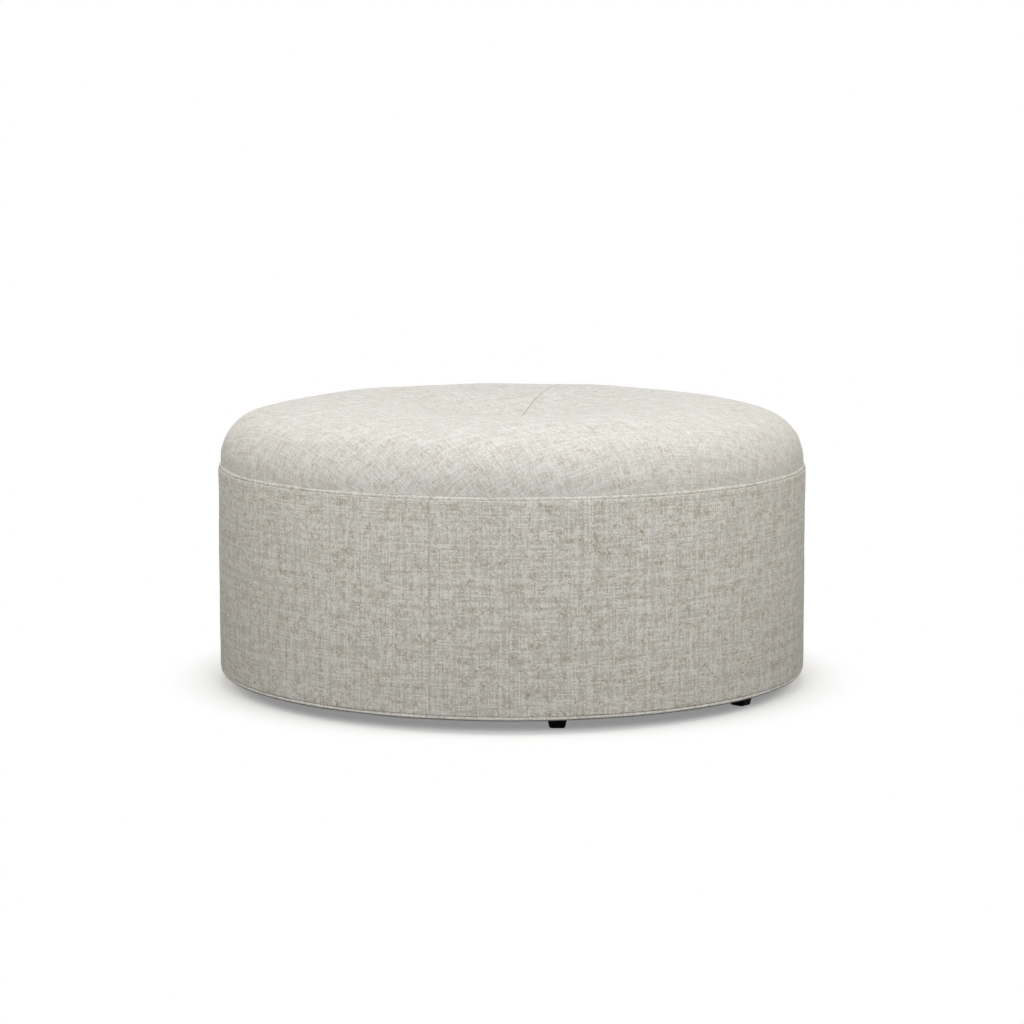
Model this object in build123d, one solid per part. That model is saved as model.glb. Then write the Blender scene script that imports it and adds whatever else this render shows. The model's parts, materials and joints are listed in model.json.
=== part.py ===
"""Round upholstered drum ottoman, used as a coffee table.

Millimetres, +Z up. The origin is the middle of the floor circle that the feet
stand on, and -Y is the front, where the side band has its closing seam.
"""

import os
from math import acos, atan2, cos, degrees, radians, sin, sqrt, tan

from build123d import *

os.makedirs("parts", exist_ok=True)

# Driving dimensions of the whole object
DRUM_RADIUS = 457.2
BAND_HEIGHT = 319.4
FOOT_HEIGHT = 26.0

# Upholstery fabric, wadding and their clearance to each other
FABRIC_THICKNESS = 1.2
WADDING_THICKNESS = 10.0
LAYER_CLEARANCE = 0.3
DUST_CLOTH_THICKNESS = 0.5

# Welts: a cord in a sleeve, with a doubled seam allowance, and the band's soft edge beside them
WELT_RADIUS = 3.0
WELT_INSET = 4.9
BAND_ROLL_RADIUS = 2.0
SEAM_ALLOWANCE_THICKNESS = 1.0
SEAM_ALLOWANCE_WIDTH = 16.0
LIP_WIDTH = 21.5

# Crown: an upright side, a tight shoulder, a slow rise to the crest and a dip
CROWN_SIDE_INSET = 4.2
CROWN_SIDE_RISE = 8.4
SHOULDER_RADIUS = 69.0
CREST_LIFT = 13.2
CREST_INSET = 152.8
DIP_SLOPE = 11.3
DIP_BEND_SHARE = 0.73
TUFT_RADIUS = 34.0
TUFT_SLOPE = 52.0
BUTTON_RIM_CLEARANCE = 0.4
TUFT_HOLE_RADIUS = 1.6

# Self-covered button, its twine and the toggle under the deck
BUTTON_RADIUS = 16.0
BUTTON_RISE = 6.5
BUTTON_EDGE_HEIGHT = 2.5
BUTTON_SHELL_WALL = 0.8
BUTTON_COVER_WALL = 0.9
TWINE_RADIUS = 1.1
TOGGLE_RADIUS = 14.0
TOGGLE_THICKNESS = 4.0
KNOT_RADIUS = 3.6

# Wooden frame
WALL_THICKNESS = 3.2
WALL_BUTT_GAP = 1.0
FRAME_CLEARANCE = 0.2
DECK_THICKNESS = 12.0
RING_THICKNESS = 18.0
RING_WIDTH = 96.0
POST_SIZE = 38.0
POST_EDGE_RADIUS = 3.0
POST_COUNT = 8

# Wood screws
SCREW_SHANK_RADIUS = 2.1
SCREW_HEAD_RADIUS = 4.2
SCREW_HEAD_DEPTH = 3.4
SCREW_LENGTH = 50.0
DECK_SCREW_LENGTH = 28.0

# Feet: black blocks that taper to the floor, bolted up into the bottom ring
FOOT_FLOOR_WIDTH = 22.6
FOOT_DRAFT = 12.7
FOOT_EDGE_RADIUS = 3.5
FOOT_CORNER_RADIUS = 4.0
FOOT_TURN = -8.8
FIRST_FOOT_AZIMUTH = 24.4
FOOT_STEP_AZIMUTH = 46.8
OUTER_FOOT_INSET = 43.9
SIDE_FOOT_INSET = 56.7
BOLT_RADIUS = 3.9
BOLT_REACH_IN_FOOT = 12.0
BOLT_END_CLEARANCE = 2.0
BOLT_HOLE_CLEARANCE = 0.15
NUT_FLANGE_RADIUS = 9.5
NUT_FLANGE_THICKNESS = 1.4
NUT_BARREL_RADIUS = 5.2
NUT_BARREL_LENGTH = 10.0

# Bottom cloth and staples
DUST_COVER_MARGIN = 1.0
DUST_COVER_STEP = 2.2
STAPLE_CROWN = 11.0
STAPLE_LEG = 8.0
STAPLE_WIRE = 1.0
STAPLE_COUNT = 24

# One overrun for every cut
OVERRUN = 2.0

# Levels, from the floor up
DUST_TOP = FOOT_HEIGHT + DUST_CLOTH_THICKNESS
BASE_Z = DUST_TOP
LIP_BOTTOM = BASE_Z - FABRIC_THICKNESS
LOWER_ALLOWANCE_BOTTOM = LIP_BOTTOM - SEAM_ALLOWANCE_THICKNESS
BOTTOM_WELT_Z = LIP_BOTTOM - SEAM_ALLOWANCE_THICKNESS / 2
TOP_WELT_Z = BOTTOM_WELT_Z + BAND_HEIGHT
DECK_TOP = TOP_WELT_Z - SEAM_ALLOWANCE_THICKNESS / 2 - FABRIC_THICKNESS
DECK_BOTTOM = DECK_TOP - DECK_THICKNESS
TOP_RING_BOTTOM = DECK_BOTTOM - RING_THICKNESS
BOTTOM_RING_TOP = BASE_Z + RING_THICKNESS

# Radii, from the outside in
WELT_CENTRE_RADIUS = DRUM_RADIUS - WELT_INSET
BAND_INNER_RADIUS = DRUM_RADIUS - FABRIC_THICKNESS
PADDING_OUTER_RADIUS = BAND_INNER_RADIUS - LAYER_CLEARANCE
PADDING_INNER_RADIUS = PADDING_OUTER_RADIUS - WADDING_THICKNESS
WALL_OUTER_RADIUS = PADDING_INNER_RADIUS - LAYER_CLEARANCE
WALL_INNER_RADIUS = WALL_OUTER_RADIUS - WALL_THICKNESS
RING_OUTER_RADIUS = WALL_INNER_RADIUS - FRAME_CLEARANCE
RING_INNER_RADIUS = RING_OUTER_RADIUS - RING_WIDTH
POST_FACE_RADIUS = sqrt(RING_OUTER_RADIUS**2 - (POST_SIZE / 2) ** 2)
POST_CENTRE_RADIUS = POST_FACE_RADIUS - POST_SIZE / 2
ALLOWANCE_INNER_RADIUS = DRUM_RADIUS - SEAM_ALLOWANCE_WIDTH
LIP_INNER_RADIUS = DRUM_RADIUS - LIP_WIDTH
DUST_COVER_RADIUS = RING_OUTER_RADIUS - DUST_COVER_MARGIN
TUFT_FLAT_RADIUS = BUTTON_RADIUS + BUTTON_RIM_CLEARANCE

# Fabric folded round a welt: the radius of each face, and its height above the seam's middle
OUTER_FOLD = WELT_RADIUS + LAYER_CLEARANCE
INNER_FOLD = OUTER_FOLD + FABRIC_THICKNESS
OUTER_SHELF = SEAM_ALLOWANCE_THICKNESS / 2
INNER_SHELF = OUTER_SHELF + FABRIC_THICKNESS


def save(name, shape):
    """Write one piece, named as its node, to its own file."""
    shape.label = name
    export_step(shape, f"parts/{name}.step")


def turned(outline):
    """Solid of revolution about Z from edges drawn as (radius, height)."""
    face = Plane.XZ * make_face(outline)
    return revolve(face, Axis.Z, 360)


def closed_polyline(points):
    """Edges of a closed straight-sided outline."""
    return Polyline(*points, close=True).edges()


def ring(inner, outer, low, high):
    """Flat-ended ring between two radii and two levels."""
    return turned(closed_polyline([(inner, low), (outer, low), (outer, high), (inner, high)]))


def disc(radius, low, high):
    """Round plate or rod on the Z axis."""
    return turned(closed_polyline([(0, low), (radius, low), (radius, high), (0, high)]))


def polar(radius, azimuth):
    """Place on the floor plan: azimuth 0 is the front (-Y), and it grows towards +X."""
    angle = radians(azimuth)
    return radius * sin(angle), -radius * cos(angle)


def around(shape, radius, azimuth, turn=0):
    """The shape moved out along an azimuth, its own front turned to face outwards."""
    x, y = polar(radius, azimuth)
    return Pos(x, y, 0) * Rot(0, 0, azimuth + turn) * shape


def arc(centre, radius, start, end):
    """Arc about a centre between two directions in degrees, measured from +radius towards +Z."""
    return CenterArc(centre, radius, start, end - start).edge()


class CrownOutline:
    """Section of the crown, drawn in by any inset, as one chain of tangent lines and arcs.

    From the outside in: an upright side, the shoulder arc, the rise to the crest, the
    bend into the dip, the straight slope, and the tuft arc down to the button's flat.
    Insets keep every centre and change only the radii, so the layers nest.
    """

    def __init__(self, inset):
        side = DRUM_RADIUS - CROWN_SIDE_INSET
        crest = DRUM_RADIUS - CREST_INSET
        shoulder_centre = (side - SHOULDER_RADIUS, TOP_WELT_Z + CROWN_SIDE_RISE)
        run = shoulder_centre[0] - crest
        rise_radius = (run**2 / CREST_LIFT + CREST_LIFT) / 2 + SHOULDER_RADIUS
        crest_z = shoulder_centre[1] + SHOULDER_RADIUS + CREST_LIFT
        rise_centre = (crest, crest_z - rise_radius)
        lean = atan2(shoulder_centre[1] - rise_centre[1], run)

        slope = radians(DIP_SLOPE)
        steep = radians(TUFT_SLOPE)
        tuft_end = TUFT_FLAT_RADIUS
        tuft_start = tuft_end + TUFT_RADIUS * (sin(steep) - sin(slope))
        bend_run = (crest - tuft_start) * DIP_BEND_SHARE
        bend_radius = bend_run / sin(slope)
        bend_centre = (crest, crest_z - bend_radius)
        slope_run = crest - bend_run - tuft_start
        slope_top_z = bend_centre[1] + bend_radius * cos(slope)
        tuft_top_z = slope_top_z - slope_run * tan(slope)
        tuft_centre = (
            tuft_start + TUFT_RADIUS * sin(slope),
            tuft_top_z - TUFT_RADIUS * cos(slope),
        )
        self.side = side - inset
        self.shoulder = (shoulder_centre, SHOULDER_RADIUS - inset, 0, degrees(lean))
        self.rise = (rise_centre, rise_radius - inset, degrees(lean), 90)
        self.bend = (bend_centre, bend_radius - inset, 90, 90 + DIP_SLOPE)
        self.tuft = (tuft_centre, TUFT_RADIUS - inset, 90 + DIP_SLOPE, 90 + TUFT_SLOPE)
        self.flat_z = self.end_of(self.tuft)[1]

    def end_of(self, piece, at_start=False):
        """Start or end point of one of the arcs."""
        centre, radius, start, end = piece
        angle = radians(start if at_start else end)
        return centre[0] + radius * cos(angle), centre[1] + radius * sin(angle)

    def edges(self, bottom):
        """The chain from the foot of the side to the twine hole."""
        tuft_top = self.end_of(self.tuft, at_start=True)
        tuft_foot = self.end_of(self.tuft)
        return [
            Line((self.side, bottom), self.end_of(self.shoulder, at_start=True)).edge(),
            arc(*self.shoulder),
            arc(*self.rise),
            arc(*self.bend),
            Line(self.end_of(self.bend), tuft_top).edge(),
            arc(*self.tuft),
            Line(tuft_foot, (TUFT_HOLE_RADIUS, self.flat_z)).edge(),
        ]


def fold_edges(level, up, ends, lip_radius):
    """Section of a fold: each face is an arc about the welt's centre and a shelf in to the hem.

    up is 1 where the fabric stands above the welt and -1 where it hangs below. ends are the
    directions from the centre at which the arcs of the outer and the inner face end.
    """
    edges = [Line((lip_radius, level + up * OUTER_SHELF), (lip_radius, level + up * INNER_SHELF)).edge()]
    for fold, shelf, end in ((OUTER_FOLD, OUTER_SHELF, ends[0]), (INNER_FOLD, INNER_SHELF, ends[1])):
        reach = sqrt(fold**2 - shelf**2)
        at_shelf = 180 - up * degrees(atan2(shelf, reach))
        shelf_z = level + up * shelf
        edges.append(arc((WELT_CENTRE_RADIUS, level), fold, end, at_shelf))
        edges.append(Line((WELT_CENTRE_RADIUS - reach, shelf_z), (lip_radius, shelf_z)).edge())
    return edges


def twine_hole(outer, inner):
    """Edge of the hole through a skin of the crown, between the flats of its two outlines."""
    return Line((TUFT_HOLE_RADIUS, outer.flat_z), (TUFT_HOLE_RADIUS, inner.flat_z)).edges()


def crown_fabric():
    """The sewn cover: its side comes down on the welt and folds inwards round it."""
    outer = CrownOutline(0)
    inner = CrownOutline(FABRIC_THICKNESS)
    ends = []
    feet = []
    for outline, fold in ((outer, OUTER_FOLD), (inner, INNER_FOLD)):
        across = outline.side - WELT_CENTRE_RADIUS
        ends.append(degrees(acos(across / fold)))
        feet.append(TOP_WELT_Z + sqrt(fold**2 - across**2))
    hem = fold_edges(TOP_WELT_Z, 1, ends, ALLOWANCE_INNER_RADIUS)
    return turned(outer.edges(feet[0]) + inner.edges(feet[1]) + hem + twine_hole(outer, inner))


def crown_layer(outer_inset, inner_inset, bottom):
    """A layer of even thickness between two insets of the crown's section, open below."""
    outer = CrownOutline(outer_inset)
    inner = CrownOutline(inner_inset)
    foot = Line((outer.side, bottom), (inner.side, bottom)).edges()
    return turned(outer.edges(bottom) + inner.edges(bottom) + foot + twine_hole(outer, inner))


def crown_core(inset, bottom):
    """The foam: everything under an inset of the section, down to the deck.

    Its rim is rebated over the seam allowances that lie on the deck's edge.
    """
    outer = CrownOutline(inset)
    floor = DECK_TOP + LAYER_CLEARANCE
    rebate = ALLOWANCE_INNER_RADIUS - LAYER_CLEARANCE
    base = Polyline(
        (outer.side, bottom),
        (rebate, bottom),
        (rebate, floor),
        (TUFT_HOLE_RADIUS, floor),
        (TUFT_HOLE_RADIUS, outer.flat_z),
    )
    return turned(outer.edges(bottom) + base.edges())


def make_crown():
    """Sewn cover, fibre wrap and foam of the seat."""
    batting_outer = FABRIC_THICKNESS + LAYER_CLEARANCE
    batting_inner = batting_outer + WADDING_THICKNESS
    foam_outer = batting_inner + LAYER_CLEARANCE
    batting_bottom = TOP_WELT_Z + INNER_FOLD + LAYER_CLEARANCE
    foam_bottom = TOP_WELT_Z + INNER_SHELF + LAYER_CLEARANCE
    save("crown_cover", crown_fabric())
    save("crown_batting", crown_layer(batting_outer, batting_inner, batting_bottom))
    save("crown_foam", crown_core(foam_outer, foam_bottom))


def dome(radius, rise, edge, base):
    """Outline of a domed cap: its rim, and the arc over it, from the rim's foot to the axis."""
    sphere = (radius**2 + rise**2) / (2 * rise)
    centre_z = base + edge + rise - sphere
    start = degrees(atan2(base + edge - centre_z, radius))
    return [
        Line((radius, base), (radius, base + edge)).edge(),
        arc((0, centre_z), sphere, start, 90),
    ]


def cap_shell(radius, rise, edge, base, wall):
    """Thin domed cap, open below."""
    inner_radius = radius - wall
    outside = dome(radius, rise, edge, base)
    inside = dome(inner_radius, rise - wall / 2, edge - wall / 2, base)
    top_outer = base + edge + rise
    top_inner = top_outer - wall
    hem = Line((inner_radius, base), (radius, base)).edge()
    axis_line = Line((0, top_inner), (0, top_outer)).edge()
    return turned(outside + inside + [hem, axis_line])


def make_tuft():
    """Covered button in the dip, the twine through the foam and the toggle under the deck."""
    base = CrownOutline(0).flat_z
    cover = cap_shell(BUTTON_RADIUS, BUTTON_RISE, BUTTON_EDGE_HEIGHT, base, BUTTON_COVER_WALL)
    save("centre_button_cover", cover)

    shell_radius = BUTTON_RADIUS - BUTTON_COVER_WALL - FRAME_CLEARANCE
    shell_top = base + BUTTON_EDGE_HEIGHT + BUTTON_RISE - BUTTON_COVER_WALL - FRAME_CLEARANCE
    shell_edge = BUTTON_EDGE_HEIGHT - BUTTON_COVER_WALL / 2
    shell_rise = shell_top - base - shell_edge
    plate = disc(shell_radius - BUTTON_SHELL_WALL, base, base + BUTTON_SHELL_WALL)
    shell = cap_shell(shell_radius, shell_rise, shell_edge, base, BUTTON_SHELL_WALL)
    save("centre_button_shell", shell + plate)

    toggle_top = DECK_BOTTOM
    toggle_bottom = toggle_top - TOGGLE_THICKNESS
    bore = TUFT_HOLE_RADIUS
    save("twine_toggle", ring(bore, TOGGLE_RADIUS, toggle_bottom, toggle_top))

    knot = Pos(0, 0, toggle_bottom - KNOT_RADIUS) * Sphere(KNOT_RADIUS)
    rod = disc(TWINE_RADIUS, toggle_bottom - KNOT_RADIUS, base)
    save("tufting_twine", rod + knot)


def make_welt(name, level, allowance_radius):
    """Piping: a cord in a fabric sleeve whose seam allowance points inwards."""
    centre = (WELT_CENTRE_RADIUS, level)
    cord_radius = WELT_RADIUS - FABRIC_THICKNESS
    half = SEAM_ALLOWANCE_THICKNESS / 2
    mouth = degrees(atan2(half, sqrt(WELT_RADIUS**2 - half**2)))
    root = WELT_CENTRE_RADIUS - WELT_RADIUS * cos(radians(mouth))
    allowance = Polyline(
        (root, level + half),
        (allowance_radius, level + half),
        (allowance_radius, level - half),
        (root, level - half),
    )
    outline = make_face(arc(centre, WELT_RADIUS, mouth - 180, 180 - mouth).edges() + allowance.edges())
    bore = Pos(*centre) * Circle(cord_radius)
    save(f"{name}_cover", revolve(Plane.XZ * (outline - bore), Axis.Z, 360))
    save(f"{name}_cord", revolve(Plane.XZ * bore, Axis.Z, 360))


def band_end(level, up, lip_radius):
    """One end of the side fabric's section: wall, soft edge, fold round the welt and hem.

    The edge is a roll whose arc is tangent to the wall and to the fold. Both faces share
    the centres of the roll and the fold, so the fabric has one thickness all the way.

    Returns the edges and the level at which both faces of the wall end.
    """
    roll_radius = DRUM_RADIUS - BAND_ROLL_RADIUS
    span = OUTER_FOLD + BAND_ROLL_RADIUS
    across = roll_radius - WELT_CENTRE_RADIUS
    lean = degrees(acos(across / span))
    roll_z = level + up * sqrt(span**2 - across**2)
    end = up * lean % 360
    edges = fold_edges(level, up, (end, end), lip_radius)
    for radius in (BAND_ROLL_RADIUS, BAND_ROLL_RADIUS - FABRIC_THICKNESS):
        edges.append(arc((roll_radius, roll_z), radius, 0, up * (lean - 180)))
    return edges, roll_z


def make_band():
    """Side fabric, folded round both welts and turned under the base, and the wadding behind it."""
    top_edges, wall_top = band_end(TOP_WELT_Z, -1, ALLOWANCE_INNER_RADIUS)
    low_edges, wall_low = band_end(BOTTOM_WELT_Z, 1, LIP_INNER_RADIUS)
    radii = (DRUM_RADIUS, BAND_INNER_RADIUS)
    walls = [Line((radius, wall_low), (radius, wall_top)).edge() for radius in radii]
    save("band_cover", turned(top_edges + low_edges + walls))
    padding_low = wall_low + LAYER_CLEARANCE
    padding_top = wall_top - LAYER_CLEARANCE
    save("band_padding", ring(PADDING_INNER_RADIUS, PADDING_OUTER_RADIUS, padding_low, padding_top))


def post_azimuths():
    """Posts stand evenly round the drum, the first at the front."""
    return [index * 360 / POST_COUNT for index in range(POST_COUNT)]


def foot_places():
    """Radius and azimuth of each foot: three in a row on one side, and the same opposite."""
    places = []
    for half_turn in (0, 180):
        for index, inset in enumerate((SIDE_FOOT_INSET, OUTER_FOOT_INSET, SIDE_FOOT_INSET)):
            azimuth = FIRST_FOOT_AZIMUTH + index * FOOT_STEP_AZIMUTH + half_turn
            places.append((DRUM_RADIUS - inset, azimuth))
    return places


def drilled(plate, places, radius, low, high):
    """The plate with a round hole at each place, right through it."""
    drill = Pos(0, 0, (low + high) / 2) * Cylinder(radius, high - low + 2 * OVERRUN)
    for place_radius, azimuth in places:
        plate = plate - around(drill, place_radius, azimuth)
    return plate


def screw_places():
    """One screw at the middle of every post's end."""
    return [(POST_CENTRE_RADIUS, azimuth) for azimuth in post_azimuths()]


def deck_screw_places():
    """Deck screws stand midway between the posts."""
    half_step = 180 / POST_COUNT
    return [(POST_CENTRE_RADIUS, azimuth + half_step) for azimuth in post_azimuths()]


def screw(length, head_level, pointing):
    """Countersunk wood screw: its head is flush at a level, and pointing is 1 for up or -1 for down."""
    outline = [
        (0, 0),
        (SCREW_HEAD_RADIUS, 0),
        (SCREW_SHANK_RADIUS, SCREW_HEAD_DEPTH),
        (SCREW_SHANK_RADIUS, length),
        (0, length),
    ]
    points = [(radius, head_level + pointing * height) for radius, height in outline]
    return turned(closed_polyline(points))


def screw_hole(length, head_level, pointing):
    """The screw's own space in the wood, with its clearance."""
    gap = BOLT_HOLE_CLEARANCE
    outline = [
        (0, -OVERRUN),
        (SCREW_HEAD_RADIUS + gap, -OVERRUN),
        (SCREW_HEAD_RADIUS + gap, 0),
        (SCREW_SHANK_RADIUS + gap, SCREW_HEAD_DEPTH),
        (SCREW_SHANK_RADIUS + gap, length + gap),
        (0, length + gap),
    ]
    points = [(radius, head_level + pointing * height) for radius, height in outline]
    return turned(closed_polyline(points))


def cut_all(body, tool, places):
    """The body with the tool cut out of it at every place."""
    for radius, azimuth in places:
        body = body - around(tool, radius, azimuth)
    return body


def make_frame():
    """Deck, rings, posts and the bent wall round them, with their screws."""
    lower_hole = screw_hole(SCREW_LENGTH, BASE_Z, 1)
    upper_hole = screw_hole(SCREW_LENGTH, DECK_BOTTOM, -1)
    deck_hole = screw_hole(DECK_SCREW_LENGTH, DECK_TOP, -1)
    barrel_radius = NUT_BARREL_RADIUS + BOLT_HOLE_CLEARANCE

    bottom = ring(RING_INNER_RADIUS, RING_OUTER_RADIUS, BASE_Z, BOTTOM_RING_TOP)
    bottom = cut_all(bottom, lower_hole, screw_places())
    bottom = drilled(bottom, foot_places(), barrel_radius, BASE_Z, BOTTOM_RING_TOP)
    save("bottom_ring", bottom)

    top = ring(RING_INNER_RADIUS, RING_OUTER_RADIUS, TOP_RING_BOTTOM, DECK_BOTTOM)
    top = cut_all(top, upper_hole, screw_places())
    top = cut_all(top, deck_hole, deck_screw_places())
    save("top_ring", top)

    deck = ring(TUFT_HOLE_RADIUS, WALL_OUTER_RADIUS, DECK_BOTTOM, DECK_TOP)
    save("deck_board", cut_all(deck, deck_hole, deck_screw_places()))

    height = TOP_RING_BOTTOM - BOTTOM_RING_TOP
    middle = (TOP_RING_BOTTOM + BOTTOM_RING_TOP) / 2
    block = Box(POST_SIZE, POST_SIZE, height)
    post = Pos(0, 0, middle) * fillet(block.edges().filter_by(Axis.Z), POST_EDGE_RADIUS)
    post = post - lower_hole - upper_hole
    for number, azimuth in enumerate(post_azimuths(), 1):
        save(f"frame_post_{number}", around(post, POST_CENTRE_RADIUS, azimuth))

    wall = ring(WALL_INNER_RADIUS, WALL_OUTER_RADIUS, BASE_Z, DECK_BOTTOM)
    gap_length = WALL_THICKNESS + 2 * OVERRUN
    gap_height = DECK_BOTTOM - BASE_Z + 2 * OVERRUN
    gap = Pos(0, 0, (DECK_BOTTOM + BASE_Z) / 2) * Box(WALL_BUTT_GAP, gap_length, gap_height)
    save("side_wall", wall - around(gap, (WALL_INNER_RADIUS + WALL_OUTER_RADIUS) / 2, 180))

    lower = screw(SCREW_LENGTH, BASE_Z, 1)
    upper = screw(SCREW_LENGTH, DECK_BOTTOM, -1)
    post_screws = [around(each, *place) for place in screw_places() for each in (lower, upper)]
    save("post_screws", Compound(children=post_screws))
    deck_screw = screw(DECK_SCREW_LENGTH, DECK_TOP, -1)
    save("deck_screws", Compound(children=[around(deck_screw, *place) for place in deck_screw_places()]))


def foot_block():
    """Tapered block with rounded upright corners and a rounded floor edge."""
    floor = RectangleRounded(FOOT_FLOOR_WIDTH, FOOT_FLOOR_WIDTH, FOOT_CORNER_RADIUS)
    block = extrude(floor, FOOT_HEIGHT, taper=-FOOT_DRAFT)
    return fillet(block.faces().sort_by(Axis.Z)[0].edges(), FOOT_EDGE_RADIUS)


def make_feet():
    """Six feet, each with a bolt that goes up into a tee nut in the bottom ring."""
    bolt_low = FOOT_HEIGHT - BOLT_REACH_IN_FOOT
    bolt_high = BOTTOM_RING_TOP - BOLT_END_CLEARANCE
    hole = disc(BOLT_RADIUS + BOLT_HOLE_CLEARANCE, bolt_low, FOOT_HEIGHT + OVERRUN)
    block = foot_block() - hole
    for number, (radius, azimuth) in enumerate(foot_places(), 1):
        save(f"foot_{number}", around(block, radius, azimuth, FOOT_TURN))

    bolt = disc(BOLT_RADIUS, bolt_low, bolt_high)
    save("foot_bolts", Compound(children=[around(bolt, *place) for place in foot_places()]))

    bore = BOLT_RADIUS + BOLT_HOLE_CLEARANCE
    barrel_low = BOTTOM_RING_TOP - NUT_BARREL_LENGTH
    flange_top = BOTTOM_RING_TOP + NUT_FLANGE_THICKNESS
    outline = [
        (bore, barrel_low),
        (NUT_BARREL_RADIUS, barrel_low),
        (NUT_BARREL_RADIUS, BOTTOM_RING_TOP),
        (NUT_FLANGE_RADIUS, BOTTOM_RING_TOP),
        (NUT_FLANGE_RADIUS, flange_top),
        (bore, flange_top),
    ]
    nut = turned(closed_polyline(outline))
    save("foot_tee_nuts", Compound(children=[around(nut, *place) for place in foot_places()]))


def staple(surface):
    """Wire staple driven upwards, its crown below a surface and tangent to the rim."""
    crown = Pos(0, 0, surface - STAPLE_WIRE / 2) * Box(STAPLE_CROWN, STAPLE_WIRE, STAPLE_WIRE)
    leg = Pos(0, 0, surface + STAPLE_LEG / 2) * Box(STAPLE_WIRE, STAPLE_WIRE, STAPLE_LEG)
    reach = (STAPLE_CROWN - STAPLE_WIRE) / 2
    return crown + Pos(reach, 0, 0) * leg + Pos(-reach, 0, 0) * leg


def make_underside():
    """Thin cloth pulled flat to the ring and stepped down over the lip and the seam allowance."""
    step_out = LIP_INNER_RADIUS - LAYER_CLEARANCE
    step_in = step_out - DUST_COVER_STEP
    upper = [
        (0, DUST_TOP),
        (step_in, DUST_TOP),
        (step_out, LOWER_ALLOWANCE_BOTTOM),
        (DUST_COVER_RADIUS, LOWER_ALLOWANCE_BOTTOM),
    ]
    lower = [(radius, level - DUST_CLOTH_THICKNESS) for radius, level in reversed(upper)]
    cloth = turned(closed_polyline(upper + lower))
    bore = BOLT_RADIUS + BOLT_HOLE_CLEARANCE
    save("dust_cover", drilled(cloth, foot_places(), bore, FOOT_HEIGHT, DUST_TOP))

    wire = staple(LOWER_ALLOWANCE_BOTTOM - DUST_CLOTH_THICKNESS)
    radius = (LIP_INNER_RADIUS + DUST_COVER_RADIUS) / 2
    step = 360 / STAPLE_COUNT
    staples = [around(wire, radius, (index + 0.5) * step) for index in range(STAPLE_COUNT)]
    save("base_staples", Compound(children=staples))


make_crown()
make_tuft()
make_welt("top_welt", TOP_WELT_Z, ALLOWANCE_INNER_RADIUS)
make_welt("bottom_welt", BOTTOM_WELT_Z, LIP_INNER_RADIUS)
make_band()
make_frame()
make_feet()
make_underside()
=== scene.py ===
"""Scene of the round upholstered ottoman: its fabric, filling, wood, feet, floor and light.

Lengths are in metres and angles in radians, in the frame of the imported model: +Z is up and
the front is at -Y. An azimuth is measured from the front towards +X.
"""

import json
import logging
import math
from dataclasses import dataclass, field
from enum import Enum

import bmesh
import bpy
import numpy as np
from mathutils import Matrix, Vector


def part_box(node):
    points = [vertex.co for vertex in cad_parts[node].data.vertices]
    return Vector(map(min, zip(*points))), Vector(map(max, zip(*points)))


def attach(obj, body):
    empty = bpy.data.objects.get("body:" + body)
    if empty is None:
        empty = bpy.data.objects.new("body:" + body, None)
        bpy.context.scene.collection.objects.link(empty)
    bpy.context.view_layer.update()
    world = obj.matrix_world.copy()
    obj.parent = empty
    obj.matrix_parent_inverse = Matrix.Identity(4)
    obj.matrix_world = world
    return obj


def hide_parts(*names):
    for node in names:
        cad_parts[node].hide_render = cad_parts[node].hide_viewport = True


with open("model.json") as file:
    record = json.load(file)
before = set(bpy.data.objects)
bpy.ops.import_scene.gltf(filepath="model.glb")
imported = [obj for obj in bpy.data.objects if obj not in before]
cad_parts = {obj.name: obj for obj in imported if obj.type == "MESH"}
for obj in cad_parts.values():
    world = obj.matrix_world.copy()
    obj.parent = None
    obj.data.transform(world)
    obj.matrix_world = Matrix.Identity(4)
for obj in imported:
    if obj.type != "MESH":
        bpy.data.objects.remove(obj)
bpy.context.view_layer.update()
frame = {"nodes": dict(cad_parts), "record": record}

LOG = logging.getLogger("ottoman")
BODY = "root"
PATTERN_UV = "weave"
# Point attribute that holds each piece's mask of painted shade in seams, joints, tucks and under the bottom
# welt
PAINTED_SHADE_MASK = "crease"
FULL_TURN = 2 * math.pi
UPRIGHT = math.pi / 2
FRONT = 0.0
BACK = math.pi
WHITE = (1.0, 1.0, 1.0)
WARM = (1.0, 0.98, 0.91)

# What the layers of the upholstery share
FABRIC = 0.0012
LAYER_GAP = 0.0003
ALLOWANCE = 0.001
WADDING = 0.010

# Points closer than this are one
SAME_POINT = 1e-7

Socket = bpy.types.NodeSocket
Value = Socket | float | tuple
Inputs = dict[str | int, Value]
Look = tuple[Value, Value, Value]
Point = tuple[float, float]
Array = np.ndarray


class Lay(Enum):
    """How a piece of fabric is cut against its grain."""

    STRAIGHT = 0.0
    BIAS = math.pi / 4


@dataclass
class Patch:
    """One surface on a grid: rows run along a section and columns go round the drum.

    A section is drawn anticlockwise in (radius, height), so that its faces point outwards.
    """

    points: Array
    pattern: Array
    # Mask of painted shade at each grid point
    crease: Array
    closed_rows: bool = True

    def corners(self) -> tuple[Array, Array]:
        """Work out the quads of the grid, with the columns joined into a ring.

        Returns:
            The four point numbers of each face, and the pattern place of each corner.
        """
        rows, columns = self.points.shape[:2]
        count = rows if self.closed_rows else rows - 1
        i, j = np.meshgrid(np.arange(count), np.arange(columns), indexing="ij")
        below, beside = (i + 1) % rows, (j + 1) % columns
        near, far = i * columns, below * columns
        faces = np.stack([near + j, near + beside, far + beside, far + j], -1)
        corners = ((i, j), (i, j + 1), (i + 1, j + 1), (i + 1, j))
        places = np.stack([self.pattern[corner] for corner in corners], 2)
        return faces.reshape(-1, 4), places.reshape(-1, 2)


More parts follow.
